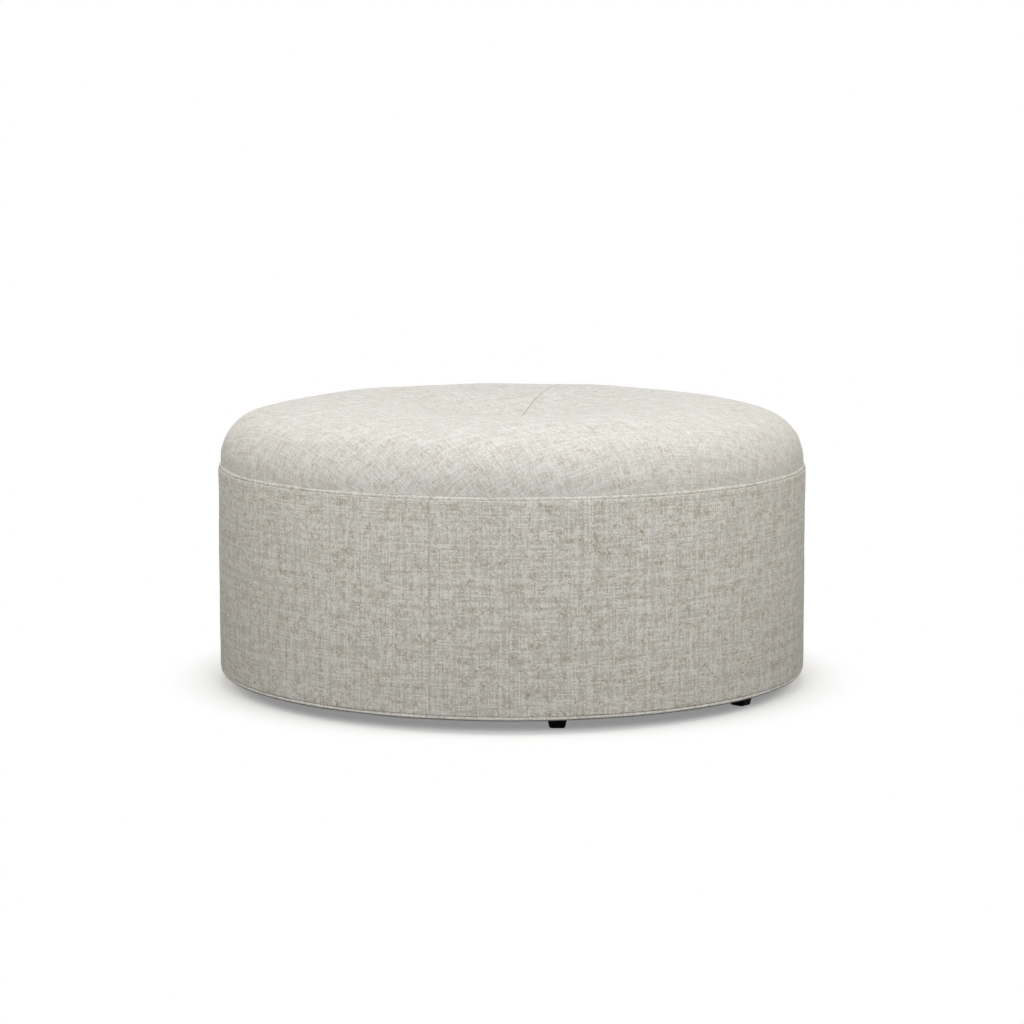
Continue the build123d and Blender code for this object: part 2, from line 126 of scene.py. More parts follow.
def build_object(name: str, patches: list[Patch], sharp: float = math.radians(55)) -> bpy.types.Object:
    """Put grids of points into one mesh object.

    Args:
        name: The piece's name.
        patches: Its surfaces.
        sharp: Edges that turn by more than this angle stay sharp.

    Returns:
        The new object, linked to the scene.
    """
    points, faces, places, crease, first = [], [], [], [], 0
    for patch in patches:
        quads, uv = patch.corners()
        points.append(patch.points.reshape(-1, 3))
        faces.append(quads + first)
        places.append(uv)
        crease.append(patch.crease.reshape(-1))
        first += len(points[-1])
    points, faces = np.concatenate(points), np.concatenate(faces)
    mesh = bpy.data.meshes.new(name)
    mesh.vertices.add(len(points))
    mesh.vertices.foreach_set("co", points.astype(np.float32).ravel())
    mesh.loops.add(faces.size)
    mesh.loops.foreach_set("vertex_index", faces.astype(np.int32).ravel())
    mesh.polygons.add(len(faces))
    mesh.polygons.foreach_set("loop_start", np.arange(0, faces.size, 4, dtype=np.int32))
    mesh.update(calc_edges=True)
    layer = mesh.uv_layers.new(name=PATTERN_UV)
    layer.data.foreach_set("uv", np.concatenate(places).astype(np.float32).ravel())
    # Painted shade: each point's share of the darker crease colour in the linen
    attribute = mesh.attributes.new(PAINTED_SHADE_MASK, "FLOAT", "POINT")
    attribute.data.foreach_set("value", np.concatenate(crease).astype(np.float32))
    close_poles(mesh)
    mesh.validate()
    mesh.shade_smooth()
    mesh.set_sharp_from_angle(angle=sharp)
    made = bpy.data.objects.new(name, mesh)
    bpy.context.scene.collection.objects.link(made)
    return made


def close_poles(mesh: bpy.types.Mesh, reach: float = 1e-7) -> None:
    """Merge the rings of points that lie on the axis into one point each.

    Args:
        mesh: The mesh to close.
        reach: Squared distance from the axis within which points are one.
    """
    work = bmesh.new()
    work.from_mesh(mesh)
    on_axis = [v for v in work.verts if v.co.x**2 + v.co.y**2 < reach]
    bmesh.ops.remove_doubles(work, verts=on_axis, dist=math.sqrt(reach))
    work.to_mesh(mesh)
    work.free()


def arc(centre: Point, radius: float, start: float, end: float, count: int) -> Array:
    """Points of a round stretch: centre + radius * (cos, sin) of evenly spaced directions.

    Args:
        centre: Its centre as (radius from the axis, height).
        radius: Its own radius.
        start: First direction, from outwards towards up.
        end: Last direction.
        count: Number of points.

    Returns:
        Points as rows of (radius, height).
    """
    angle = np.linspace(start, end, count)
    return np.column_stack([centre[0] + radius * np.cos(angle), centre[1] + radius * np.sin(angle)])


def line(start: Point, end: Point, count: int = 2) -> Array:
    """Evenly spaced points of a straight stretch, as rows of (radius, height)."""
    share = np.linspace(0, 1, count)[:, None]
    return np.array(start) * (1 - share) + np.array(end) * share


@dataclass(frozen=True)
class Step:
    """Where the stacked hems go down from the deck to a welt: edge, foot and upper level."""

    edge: float
    foot: float
    level: float

    def path(self, hem: float, offset: float, welt: float) -> Array:
        """Path of a hem: level on the deck, then down over the deck's edge to the welt.

        Args:
            hem: Radius where it ends.
            offset: Height above the middle of the stack of hems.
            welt: The welt's level.

        Returns:
            Points from the hem to the foot of the step.
        """
        rows = [(hem, self.level), (self.edge, self.level), (self.foot, welt)]
        return np.array(rows) + (0.0, offset)


def chain(*stretches: Array) -> Array:
    """Join stretches end to end, and drop the points that two of them share."""
    points = np.concatenate(stretches)
    steps = np.linalg.norm(np.diff(points, axis=0), axis=1)
    return points[np.concatenate([[True], steps > SAME_POINT])]


def lengths_along(section: Array) -> Array:
    """Distance of each point of a section from its first, along the section."""
    return np.concatenate([[0.0], np.cumsum(np.linalg.norm(np.diff(section, axis=0), axis=1))])


def loop_lengths(section: Array) -> Array:
    """Distances along a closed section, with one more entry for the step that closes it."""
    return lengths_along(np.concatenate([section, section[:1]]))


def there_and_back(rows: Array) -> Array:
    """Rows of one face of a layer, followed by the same rows in turn for its other face."""
    return np.concatenate([rows, rows[::-1]])


def section_normals(section: Array) -> Array:
    """Unit normals of a section drawn anticlockwise: its direction turned a quarter clockwise."""
    along = np.gradient(section, axis=0)
    along /= np.linalg.norm(along, axis=1, keepdims=True)
    return np.column_stack([along[:, 1], -along[:, 0]])


def azimuths(seam: float, count: int, finest: float = 0.0004, growth: float = 1.35) -> Array:
    """Directions round the drum that draw together towards a seam.

    The offsets from the seam are finest * (growth^k - 1) / (growth - 1) until the step
    reaches a full turn / count, and even from there on.

    Args:
        seam: Azimuth of the seam, which is the first direction.
        count: Number of even steps in a full turn.
        finest: First step beside the seam.
        growth: Rate at which the steps grow.

    Returns:
        Azimuths from the seam to just short of a full turn past it.
    """
    step = FULL_TURN / count
    steps = math.ceil(math.log(step / finest) / math.log(growth))
    near = finest * (growth ** np.arange(steps + 1) - 1) / (growth - 1)
    middle = np.linspace(near[-1], FULL_TURN - near[-1], count - 2 * int(near[-1] / step))
    return seam + np.concatenate([near[:-1], middle, FULL_TURN - near[-2:0:-1]])


def apart(around: Array, seam: float) -> Array:
    """Signed angle from a seam, between minus and plus half a turn."""
    return (around - seam + math.pi) % FULL_TURN - math.pi


def revolved(section: Array, around: Array, relief: Array | None = None) -> Array:
    """Carry a section round the axis: (r sin a, -r cos a, z), raised along its normals.

    Args:
        section: Rows of (radius, height).
        around: Azimuths of the columns.
        relief: Height of each grid point above the section, along the section's normal.

    Returns:
        Points as an array of rows, columns and x, y, z.
    """
    profile = np.repeat(section[:, None, :], len(around), axis=1)
    if relief is not None:
        profile = profile + relief[..., None] * section_normals(section)[:, None, :]
    radius, height = profile[..., 0], profile[..., 1]
    return np.stack([radius * np.sin(around), -radius * np.cos(around), height], -1)


def swept(
    section: Array, around: Array, pattern: Array,
    relief: Array | None = None, crease: Array | None = None, closed_rows: bool = True,
) -> Patch:
    """Patch of a section that is carried round the axis.

    Args:
        section: Rows of (radius, height).
        around: Azimuths of the columns.
        pattern: Pattern place of each grid point, with one more column than the grid.
        relief: Height of each grid point above the section, or None where it has none.
        crease: Mask of painted shade at each grid point, or None where it has none.
        closed_rows: True where the section's last point joins its first.

    Returns:
        The new patch.
    """
    points = revolved(section, around, relief)
    blank = np.zeros(points.shape[:2])
    return Patch(points, pattern, blank if crease is None else crease, closed_rows)


def disc_pattern(along: Array, around: Array, lay: Lay) -> Array:
    """Pattern place of fabric laid flat over a dome: distance from the middle, by azimuth."""
    wrapped = np.append(around, around[0] + FULL_TURN) + lay.value
    return np.stack([along[:, None] * np.sin(wrapped), -along[:, None] * np.cos(wrapped)], -1)


def strip_pattern(
    along: Array, around: Array, radius: float, lay: Lay, start: float = 0.0
) -> Array:
    """Pattern place of a strip: length round the drum and distance along the section.

    Args:
        along: Distance of each row along the section.
        around: Azimuths of the columns.
        radius: Radius at which the strip's length is measured.
        lay: How the strip is cut against its grain.
        start: Length at azimuth zero.

    Returns:
        Places of rows and columns, with one more column for the step that closes the ring.
    """
    wrapped = np.append(around, around[0] + FULL_TURN)
    u, v = np.broadcast_arrays(radius * wrapped[None, :] + start, along[:, None])
    cosine, sine = math.cos(lay.value), math.sin(lay.value)
    return np.stack([u * cosine - v * sine, u * sine + v * cosine], -1)


@dataclass(frozen=True)
class Waves:
    """Soft unevenness: a mean of cosine waves, each with whole turns round the drum.

    Turns are the fewest and most waves round the drum, and lengths the shortest and longest
    wave along the section. Formula: mean of cos(turns * azimuth + 2 pi * distance / length
    + phase), times the root of twice the count, so that the result has a spread of about one.
    """

    seed: int
    turns: tuple[int, int]
    lengths: tuple[float, float]
    count: int = 24

    def over(self, around: Array, along: Array) -> Array:
        """Work out the waves on a grid.

        Args:
            around: Azimuths of the columns.
            along: Distances of the rows along the section.

        Returns:
            Heights of rows and columns.
        """
        rng = np.random.default_rng(self.seed)
        total = np.zeros((len(along), len(around)))
        for _ in range(self.count):
            turns = rng.integers(self.turns[0], self.turns[1] + 1)
            wave = FULL_TURN / rng.uniform(*self.lengths) * rng.choice([-1, 1])
            phase = rng.uniform(0, FULL_TURN)
            total += np.cos(turns * around[None, :] + wave * along[:, None] + phase)
        return total * math.sqrt(2 / self.count)


@dataclass(frozen=True)
class SewnLine:
    """A seam across a piece: a narrow groove with painted shade in it, and puckers at the pitch of the
    stitching.
    """

    depth: float
    width: float
    # Strength of the painted shade in the groove
    shade: float
    pucker: float
    pitch: float
    reach: float

    def groove(self, off: Array, widening: Array | float = 1.0) -> Array:
        """Share of the groove: exp(-(distance / (width * widening))^2)."""
        return np.exp(-((off / (self.width * widening)) ** 2))

    def puckers(self, off: Array, along: Array) -> Array:
        """Height of the puckers: cos(2 pi * place / pitch) that fades as exp(-distance / reach)."""
        wave = self.pucker * np.cos(FULL_TURN * along / self.pitch)
        return wave[:, None] * np.exp(-off / self.reach)


class Shader:
    """Small builder of nodes in one tree."""

    def __init__(self, tree: bpy.types.NodeTree) -> None:
        """Keep the tree that the nodes go into."""
        self.tree = tree

    @classmethod
    def fresh(cls, owner: bpy.types.ID) -> "Shader":
        """Builder in the emptied tree of a material or a world."""
        owner.use_nodes = True
        owner.node_tree.nodes.clear()
        return cls(owner.node_tree)

    def node(self, kind: str, inputs: Inputs | None = None, **settings: object) -> bpy.types.Node:
        """Add a node.

        Args:
            kind: Blender's name of the node's type, without ShaderNode.
            inputs: Sockets to link or to set, by name or place.
            settings: Properties of the node.

        Returns:
            The new node.
        """
        made = self.tree.nodes.new("ShaderNode" + kind)
        for key, value in settings.items():
            setattr(made, key, value)
        for key, value in (inputs or {}).items():
            self.feed(made.inputs[key], value)
        return made

    def feed(self, socket: Socket, value: Value) -> None:
        """Link an input to a socket, or set it to a plain value.

        Args:
            socket: The input.
            value: Another node's output, a number, or a colour or vector.
        """
        if isinstance(value, bpy.types.NodeSocket):
            self.tree.links.new(value, socket)
        elif isinstance(value, tuple) and len(value) == 3 and socket.type == "RGBA":
            socket.default_value = (*value, 1.0)
        else:
            socket.default_value = value

    def math(self, operation: str, a: Value, b: Value = 0.0) -> Socket:
        """Result of a Math node on one or two values."""
        return self.node("Math", {0: a, 1: b}, operation=operation).outputs[0]

    def plus(self, a: Value, b: Value) -> Socket:
        """Sum of two values."""
        return self.math("ADD", a, b)

    def times(self, a: Value, b: Value) -> Socket:
        """Product of two values."""
        return self.math("MULTIPLY", a, b)

    def weigh(self, *terms: tuple[Value, float]) -> Socket:
        """Sum of values, each times its weight."""
        total, *rest = (self.times(value, weight) for value, weight in terms)
        for term in rest:
            total = self.plus(total, term)
        return total

    def smooth(self, value: Value, low: float, high: float) -> Socket:
        """Value turned into a mask that rises smoothly from 0 at low to 1 at high."""
        ends = {"Value": value, "From Min": low, "From Max": high}
        return self.node("MapRange", ends, interpolation_type="SMOOTHSTEP").outputs["Result"]

    def spread(self, value: Value, low: Value, high: Value) -> Socket:
        """Value between 0 and 1 turned into one between low and high."""
        return self.node("MapRange", {"Value": value, "To Min": low, "To Max": high}).outputs["Result"]

    def mix(self, share: Value, a: Value, b: Value, blend: str = "MIX") -> Socket:
        """Colour between a and b.

        Args:
            share: How much of b shows.
            a: First colour.
            b: Second colour.
            blend: Blender's name of the way to mix them.

        Returns:
            The mixed colour.
        """
        made = self.node("Mix", data_type="RGBA", blend_type=blend)
        for place, value in ((0, share), (6, a), (7, b)):
            self.feed(made.inputs[place], value)
        return made.outputs[2]

    def noise(self, vector: Socket, scale: Value, detail: float = 2.0, roughness: float = 0.5) -> Socket:
        """Value of smooth noise, mostly between 0.3 and 0.7."""
        inputs = {"Vector": vector, "Scale": scale, "Detail": detail, "Roughness": roughness}
        return self.node("TexNoise", inputs).outputs[0]

    def combine(self, x: Value, y: Value, z: Value = 0.0) -> Socket:
        """Vector of three values."""
        return self.node("CombineXYZ", {0: x, 1: y, 2: z}).outputs[0]

    def object_place(self) -> Socket:
        """The place of a point in the piece's own frame."""
        return self.node("TexCoord").outputs["Object"]

    def scaled(self, vector: Value, x: float, y: float, z: float) -> Socket:
        """Vector times one number along each axis."""
        return self.node("VectorMath", {0: vector, 1: (x, y, z)}, operation="MULTIPLY").outputs[0]


class PatternGroup:
    """Shader node group with named inputs and outputs, built once."""

    def __init__(self, name: str, inputs: dict[str, str], outputs: dict[str, str]) -> None:
        """Make the empty group.

        Args:
            name: The group's name.
            inputs: Socket types by name.
            outputs: Socket types by name.
        """
        self.tree = bpy.data.node_groups.new(name, "ShaderNodeTree")
        for way, sockets in (("INPUT", inputs), ("OUTPUT", outputs)):
            for label, kind in sockets.items():
                self.tree.interface.new_socket(label, in_out=way, socket_type="NodeSocket" + kind)
        self.shader = Shader(self.tree)
        self.given = self.tree.nodes.new("NodeGroupInput").outputs
        self.result = self.tree.nodes.new("NodeGroupOutput").inputs

    def give(self, **values: Socket) -> None:
        """Link the group's outputs."""
        for label, socket in values.items():
            self.tree.links.new(socket, self.result[label])

    def place(self, shader: Shader, **inputs: Value) -> bpy.types.bpy_prop_collection:
        """Put the group into a material.

        Args:
            shader: Builder of the material's tree.
            inputs: The group's inputs.

        Returns:
            The outputs of the placed group.
        """
        made = shader.node("Group", node_tree=self.tree)
        for label, value in inputs.items():
            shader.feed(made.inputs[label], value)
        return made.outputs


@dataclass(frozen=True)
class Threads:
    """One system of parallel threads in a weave."""

    seed: float
    wander: float = 0.7
    lane_step: float = 5.37
    quick_rate: float = 2.2
    quick_seed: float = 40.0
    streak_rate: float = 0.35
    streak_seed: float = 90.0

    def build(
        self, s: Shader, across: Socket, along: Socket, pitch: Socket, slub: Socket, drift: Socket
    ) -> dict[str, Socket]:
        """Work out the threads' numbers, round backs, tones and flecks.

        A thread's number is the whole part of its place across over the pitch, and its back is
        1 - (2 * the rest - 1)^2. Tones and flecks are noise read at (number, distance / slub).

        Args:
            s: Builder of the group's tree.
            across: Place across the threads.
            along: Place along them.
            pitch: Distance between two threads.
            slub: Usual length of a thick or thin stretch of yarn.
            drift: Noise that lets the threads wander.

        Returns:
            Sockets named number, back, tone, fleck and streak.
        """
        cell = s.plus(s.math("DIVIDE", across, pitch), s.times(drift, self.wander))
        number = s.math("FLOOR", cell)
        rest = s.math("SUBTRACT", cell, number)
        centred = s.math("SUBTRACT", s.times(rest, 2.0), 1.0)
        back = s.math("SUBTRACT", 1.0, s.times(centred, centred))
        shifted = s.plus(number, self.seed)
        own = s.node("TexWhiteNoise", {"W": shifted}, noise_dimensions="1D").outputs["Value"]
        lane = s.plus(s.times(number, self.lane_step), self.seed)
        run = s.math("DIVIDE", along, slub)
        quick_run, streak_run = s.times(run, self.quick_rate), s.times(run, self.streak_rate)
        slow = s.noise(s.combine(lane, run, self.seed), 1.0, 1.0)
        quick = s.noise(s.combine(lane, quick_run, self.seed + self.quick_seed), 1.0, 2.0)
        streak = s.noise(s.combine(lane, streak_run, self.seed + self.streak_seed), 1.0, 1.0)
        tone = s.weigh((own, 0.26), (streak, 0.30), (slow, 0.44))
        return {"number": number, "back": back, "tone": tone, "fleck": quick, "streak": streak}


class LinenPattern(PatternGroup):
    """Plain weave of slubby cream, grey and tan yarns.

    A range is the two values of tone, chance or noise between which its mask rises.
    """

    over_shares = (0.24, 0.76)
    knot_reach = 0.10
    pale_range = (0.38, 0.62)
    hue_range = (0.42, 0.58)
    tan_range = (0.93, 1.25)
    umber_range = (1.10, 1.36)
    light_streak_range = (0.55, 0.65)
    light_streak_share = 0.75
    dark_streak_range = (0.42, 0.35)
    dark_streak_share = 0.3
    # Share of the pale colour in the flat tone of the painted sheen
    painted_sheen_pale_share = 0.6
    # Painted shade between the threads: where both round backs fall away, the colour is multiplied by the gap
    # shade
    gap_range = (0.55, 0.0)
    gap_shade = (0.62, 0.58, 0.52)
    gap_share = 0.8
    drift_scale = 26.0
    hue_scale = 38.0
    blotch_scale = 60.0
    roughnesses = (0.95, 0.82)

    def __init__(self) -> None:
        """Build the group: two systems of threads that lie over each other in turn."""
        numbers = dict.fromkeys(("Pitch", "Slub", "Fleck", "PaintedSheen"), "Float")
        colours = dict.fromkeys(("Ground", "Pale", "Tan", "Rose", "Umber"), "Color")
        outputs = {"Color": "Color", "Height": "Float", "Roughness": "Float"}
        super().__init__("slubby_weave", {"Pattern": "Vector", **numbers, **colours}, outputs)
        s, given = self.shader, self.given
        place = s.node("SeparateXYZ", {0: given["Pattern"]}).outputs
        drift = s.noise(given["Pattern"], self.drift_scale, 1.0)
        yarn = (given["Pitch"], given["Slub"], drift)
        warp = Threads(11.0).build(s, place[0], place[1], *yarn)
        weft = Threads(73.0).build(s, place[1], place[0], *yarn)
        turn = s.math("PINGPONG", s.plus(warp["number"], weft["number"]), 1.0)
        over = s.spread(turn, *self.over_shares)
        keys = ("tone", "fleck", "back", "streak")
        seen = {key: s.node("Mix", {0: over, 2: warp[key], 3: weft[key]}).outputs[0] for key in keys}
        crossing = s.combine(warp["number"], weft["number"])
        knot = s.node("TexWhiteNoise", {"Vector": crossing}, noise_dimensions="2D").outputs["Value"]
        tone = s.plus(seen["tone"], s.spread(knot, -self.knot_reach, self.knot_reach))
        body = s.mix(s.smooth(tone, *self.pale_range), given["Ground"], given["Pale"])
        flecked = self.flecked(body, seen["fleck"])
        run = self.streaked(flecked, seen["streak"])
        # Painted sheen: a veil of flat pale tone that flattens the weave's contrast, as sheen at a glancing
        # view does
        veil = s.mix(self.painted_sheen_pale_share, given["Ground"], given["Pale"])
        veiled = s.mix(given["PaintedSheen"], run, veil)
        # Painted shade in the gaps between the threads
        gap = s.times(*(s.smooth(threads["back"], *self.gap_range) for threads in (warp, weft)))
        dark = s.mix(1.0, veiled, self.gap_shade, "MULTIPLY")
        colour = s.mix(s.times(gap, self.gap_share), veiled, dark)
        height = s.weigh((seen["back"], 0.6), (seen["tone"], 0.8))
        self.give(Color=colour, Height=height, Roughness=s.spread(tone, *self.roughnesses))

    def flecked(self, body: Socket, fleck: Socket) -> Socket:
        """Tan, rose and umber flecks, where the yarn's own noise and broad blotches meet.

        Args:
            body: Colour of the yarn without flecks.
            fleck: The yarn's own noise.

        Returns:
            The flecked colour.
        """
        s, given = self.shader, self.given
        blotch = s.noise(given["Pattern"], self.blotch_scale, 3.0, 0.65)
        chance = s.weigh((blotch, 0.78), (fleck, 1.22))
        tan_mask = s.times(s.smooth(chance, *self.tan_range), given["Fleck"])
        hue = s.smooth(s.noise(given["Pattern"], self.hue_scale, 1.0), *self.hue_range)
        tinted = s.mix(tan_mask, body, s.mix(hue, given["Tan"], given["Rose"]))
        umber_mask = s.times(s.smooth(chance, *self.umber_range), given["Fleck"])
        return s.mix(umber_mask, tinted, given["Umber"])

    def streaked(self, colour: Socket, streak: Socket) -> Socket:
        """Long pale stretches of yarn, and long dark ones.

        Args:
            colour: Colour of the yarn.
            streak: Slow noise along the yarn.

        Returns:
            The streaked colour.
        """
        s, given = self.shader, self.given
        light = s.times(s.smooth(streak, *self.light_streak_range), self.light_streak_share)
        dark = s.times(s.smooth(streak, *self.dark_streak_range), self.dark_streak_share)
        return s.mix(dark, s.mix(light, colour, given["Pale"]), given["Umber"])


class GrainPattern(PatternGroup):
    """Wood grain: rings of growth seen along the board, with fine pores."""

    bend_stretch = (2.0, 2.0, 0.35)
    bend_scale = 4.0
    pore_stretch = (900.0, 900.0, 26.0)

    def __init__(self) -> None:
        """Build the group: a wave of stretched noise, and short dark pores."""
        inputs = {"Pattern": "Vector", "Rings": "Float", "Early": "Color", "Late": "Color"}
        super().__init__("wood_grain", inputs, {"Color": "Color", "Height": "Float", "Roughness": "Float"})
        s, given = self.shader, self.given
        bend = s.noise(s.scaled(given["Pattern"], *self.bend_stretch), self.bend_scale, 2.0)
        wave = s.math("ABSOLUTE", s.math("SINE", s.times(bend, given["Rings"])))
        pores = s.noise(s.scaled(given["Pattern"], *self.pore_stretch), 1.0, 2.0)
        tone = s.weigh((wave, 0.7), (pores, 0.45))
        colour = s.mix(s.smooth(tone, 0.2, 1.0), given["Early"], given["Late"])
        self.give(Color=colour, Height=pores, Roughness=s.spread(pores, 0.55, 0.8))


class MottlePattern(PatternGroup):
    """Fine unevenness that moulded, sprayed and fibrous surfaces share."""

    def __init__(self) -> None:
        """Build the group: coarse and fine noise, mixed for the colour, the fine one for the height."""
        inputs = {"Pattern": "Vector", "Coarse": "Float", "Fine": "Float", "Low": "Color", "High": "Color"}
        super().__init__("mottle", inputs, {"Color": "Color", "Height": "Float", "Mask": "Float"})
        s, given = self.shader, self.given
        coarse = s.noise(given["Pattern"], given["Coarse"], 3.0)
        fine = s.noise(given["Pattern"], given["Fine"], 3.0, 0.6)
        both = s.weigh((coarse, 0.55), (fine, 0.45))
        colour = s.mix(s.smooth(both, 0.3, 0.7), given["Low"], given["High"])
        self.give(Color=colour, Height=fine, Mask=both)


@dataclass(frozen=True)
class Patterns:
    """The node groups that the finishes share."""

    linen: LinenPattern = field(default_factory=LinenPattern)
    grain: GrainPattern = field(default_factory=GrainPattern)
    mottle: MottlePattern = field(default_factory=MottlePattern)


@dataclass(frozen=True)
class Finish:
    """A surface: its node tree ends in one Principled shader with these plain values."""

    slot: str
    metallic: float = 0.0
    specular: float = 0.5
    sheen: float = 0.0
    bump: float = 0.0001

    def build(self, patterns: Patterns) -> bpy.types.Material:
        """Make the material.

        Args:
            patterns: The shared node groups.

        Returns:
            The new material, named after the slot.
        """
        material = bpy.data.materials.new(self.slot)
        s = Shader.fresh(material)
        colour, height, roughness = self.surface(s, patterns)
        relief = s.node("Bump", {"Height": height, "Distance": self.bump, "Strength": 1.0}).outputs[0]
        shader = s.node("BsdfPrincipled", {"Base Color": colour, "Roughness": roughness, "Normal": relief})
        shader.inputs["Metallic"].default_value = self.metallic
        shader.inputs["Specular IOR Level"].default_value = self.specular
        shader.inputs["Sheen Weight"].default_value = self.sheen
        s.node("OutputMaterial", {"Surface": shader.outputs[0]})
        return material

    def surface(self, s: Shader, patterns: Patterns) -> Look:
        """Lay out the nodes of this finish.

        Args:
            s: Builder of the material's tree.
            patterns: The shared node groups.

        Returns:
            Colour, height and roughness of the surface.
        """
        raise NotImplementedError


@dataclass(frozen=True)
class Linen(Finish):
    """Woven upholstery fabric, drawn on each piece's flat pattern."""

    slot: str = "linen_weave"
    specular: float = 0.2
    sheen: float = 0.15
    bump: float = 0.00006
    pitch: float = 0.0022
    slub: float = 0.013
    fleck: float = 0.9
    # Share of painted sheen: the weave mixed towards a flat pale tone
    veil: float = 0.0
    ground: tuple = (0.604, 0.590, 0.546)
    pale: tuple = (0.826, 0.820, 0.784)
    tan: tuple = (0.516, 0.460, 0.356)
    rose: tuple = (0.545, 0.456, 0.392)
    umber: tuple = (0.380, 0.318, 0.232)
    # Colour of the painted shade laid into seams, joints, tucks and under the bottom welt
    crease_shade: tuple = (0.36, 0.33, 0.28)

    def surface(self, s: Shader, patterns: Patterns) -> Look:
        """Weave in the piece's pattern coordinates, with painted shade in the creases from the crease mask.
        """
        place = s.node("UVMap", uv_map=PATTERN_UV).outputs[0]
        weave = patterns.linen.place(
            s, Pattern=place, Pitch=self.pitch, Slub=self.slub, Fleck=self.fleck, PaintedSheen=self.veil,
            Ground=self.ground, Pale=self.pale, Tan=self.tan, Rose=self.rose, Umber=self.umber,
        )
        crease = s.node("Attribute", attribute_name=PAINTED_SHADE_MASK).outputs["Fac"]
        # Painted shade: the crease mask darkens the weave towards the crease shade
        colour = s.mix(crease, weave["Color"], self.crease_shade)
        return colour, weave["Height"], weave["Roughness"]


@dataclass(frozen=True)
class Wadding(Finish):
    """Loose white polyester fibre."""

    slot: str = "polyester_wadding"
    specular: float = 0.2
    sheen: float = 0.3
    bump: float = 0.0012
    stretches: tuple = ((900, 90, 90), (90, 900, 200))
    roughness: float = 0.95

    def surface(self, s: Shader, patterns: Patterns) -> Look:
        """Crossing stretched noise for the fibres."""
        place = s.object_place()
        fibres = [s.noise(s.scaled(place, *stretch), 1.0, 4.0, 0.7) for stretch in self.stretches]
        height = s.math("MAXIMUM", *fibres)
        colour = s.mix(s.smooth(height, 0.4, 0.7), (0.80, 0.80, 0.79), (0.93, 0.93, 0.92))
        return colour, height, self.roughness


@dataclass(frozen=True)
class Foam(Finish):
    """Cut face of cream upholstery foam, full of small open cells."""

    slot: str = "seat_foam"
    specular: float = 0.3
    bump: float = 0.0008
    cells_per_metre: float = 700.0

    def surface(self, s: Shader, patterns: Patterns) -> Look:
        """Cells from the distance to the nearest point, on a slowly changing yellow."""
        place = s.object_place()
        inputs = {"Vector": place, "Scale": self.cells_per_metre}
        cells = s.node("TexVoronoi", inputs, feature="F1").outputs["Distance"]
        tint = s.mix(s.noise(place, 6.0, 3.0), (0.84, 0.77, 0.56), (0.90, 0.85, 0.68))
        colour = s.mix(s.smooth(cells, 0.35, 0.8), tint, (0.66, 0.57, 0.38))
        return colour, cells, s.spread(cells, 0.8, 0.98)


@dataclass(frozen=True)
class CottonCord(Finish):
    """Twisted unbleached cotton."""

    slot: str = "cotton_cord"
    specular: float = 0.25
    sheen: float = 0.15
    bump: float = 0.0005
    twist: float = 1500.0
    fluff_scale: float = 2400.0
    roughness: float = 0.9

    def surface(self, s: Shader, patterns: Patterns) -> Look:
        """Slanting strands: sine of the place along a slant line, plus loose fibre."""
        place = s.object_place()
        inputs = {0: place, 1: (self.twist,) * 3}
        slant = s.node("VectorMath", inputs, operation="DOT_PRODUCT").outputs["Value"]
        strand = s.spread(s.math("SINE", slant), 0.0, 1.0)
        height = s.weigh((strand, 0.7), (s.noise(place, self.fluff_scale, 3.0), 0.4))
        colour = s.mix(s.smooth(height, 0.1, 0.9), (0.62, 0.56, 0.44), (0.86, 0.82, 0.72))
        return colour, height, self.roughness


@dataclass(frozen=True)
class Plywood(Finish):
    """Plywood: grain on the faces, and the plies on the edges."""

    slot: str = "plywood"
    bump: float = 0.00015
    ply: float = 0.0022
    rings: float = 38.0

    def surface(self, s: Shader, patterns: Patterns) -> Look:
        """Face grain where the surface is level, light and dark plies by height where it is upright."""
        place = s.object_place()
        turned = s.node("Mapping", {"Vector": place, "Rotation": (0.0, UPRIGHT, 0.0)}).outputs[0]
        early, late = (0.78, 0.62, 0.42), (0.55, 0.38, 0.22)
        face = patterns.grain.place(s, Pattern=turned, Rings=self.rings, Early=early, Late=late)
        height = s.node("SeparateXYZ", {0: place}).outputs[2]
        ply = s.math("PINGPONG", s.math("DIVIDE", height, self.ply), 1.0)
        edge = s.mix(s.smooth(ply, 0.35, 0.65), (0.74, 0.58, 0.38), (0.42, 0.28, 0.16))
        normal = s.node("NewGeometry").outputs["Normal"]
        up = s.math("ABSOLUTE", s.node("SeparateXYZ", {0: normal}).outputs[2])
        colour = s.mix(s.smooth(up, 0.4, 0.6), edge, face["Color"])
        return colour, face["Height"], face["Roughness"]


@dataclass(frozen=True)
class Softwood(Finish):
    """Sawn pine posts with the grain upright."""

    slot: str = "softwood"
    bump: float = 0.0002
    rings: float = 70.0

    def surface(self, s: Shader, patterns: Patterns) -> Look:
        """Wide growth rings along the post."""
        place, early, late = s.object_place(), (0.84, 0.70, 0.48), (0.62, 0.42, 0.22)
        wood = patterns.grain.place(s, Pattern=place, Rings=self.rings, Early=early, Late=late)
        return wood["Color"], wood["Height"], wood["Roughness"]


@dataclass(frozen=True)
class Mottled(Finish):
    """A finish that is one colour with fine unevenness."""

    low: tuple = (0.2, 0.2, 0.2)
    high: tuple = (0.3, 0.3, 0.3)
    gloss: tuple = (0.4, 0.6)
    coarse: float = 30.0
    fine: float = 900.0

    def surface(self, s: Shader, patterns: Patterns) -> Look:
        """Two sizes of noise between the two colours, which also vary the gloss."""
        place = s.object_place()
        sizes = {"Coarse": self.coarse, "Fine": self.fine}
        mottle = patterns.mottle.place(s, Pattern=place, Low=self.low, High=self.high, **sizes)
        return mottle["Color"], mottle["Height"], s.spread(mottle["Mask"], *self.gloss)


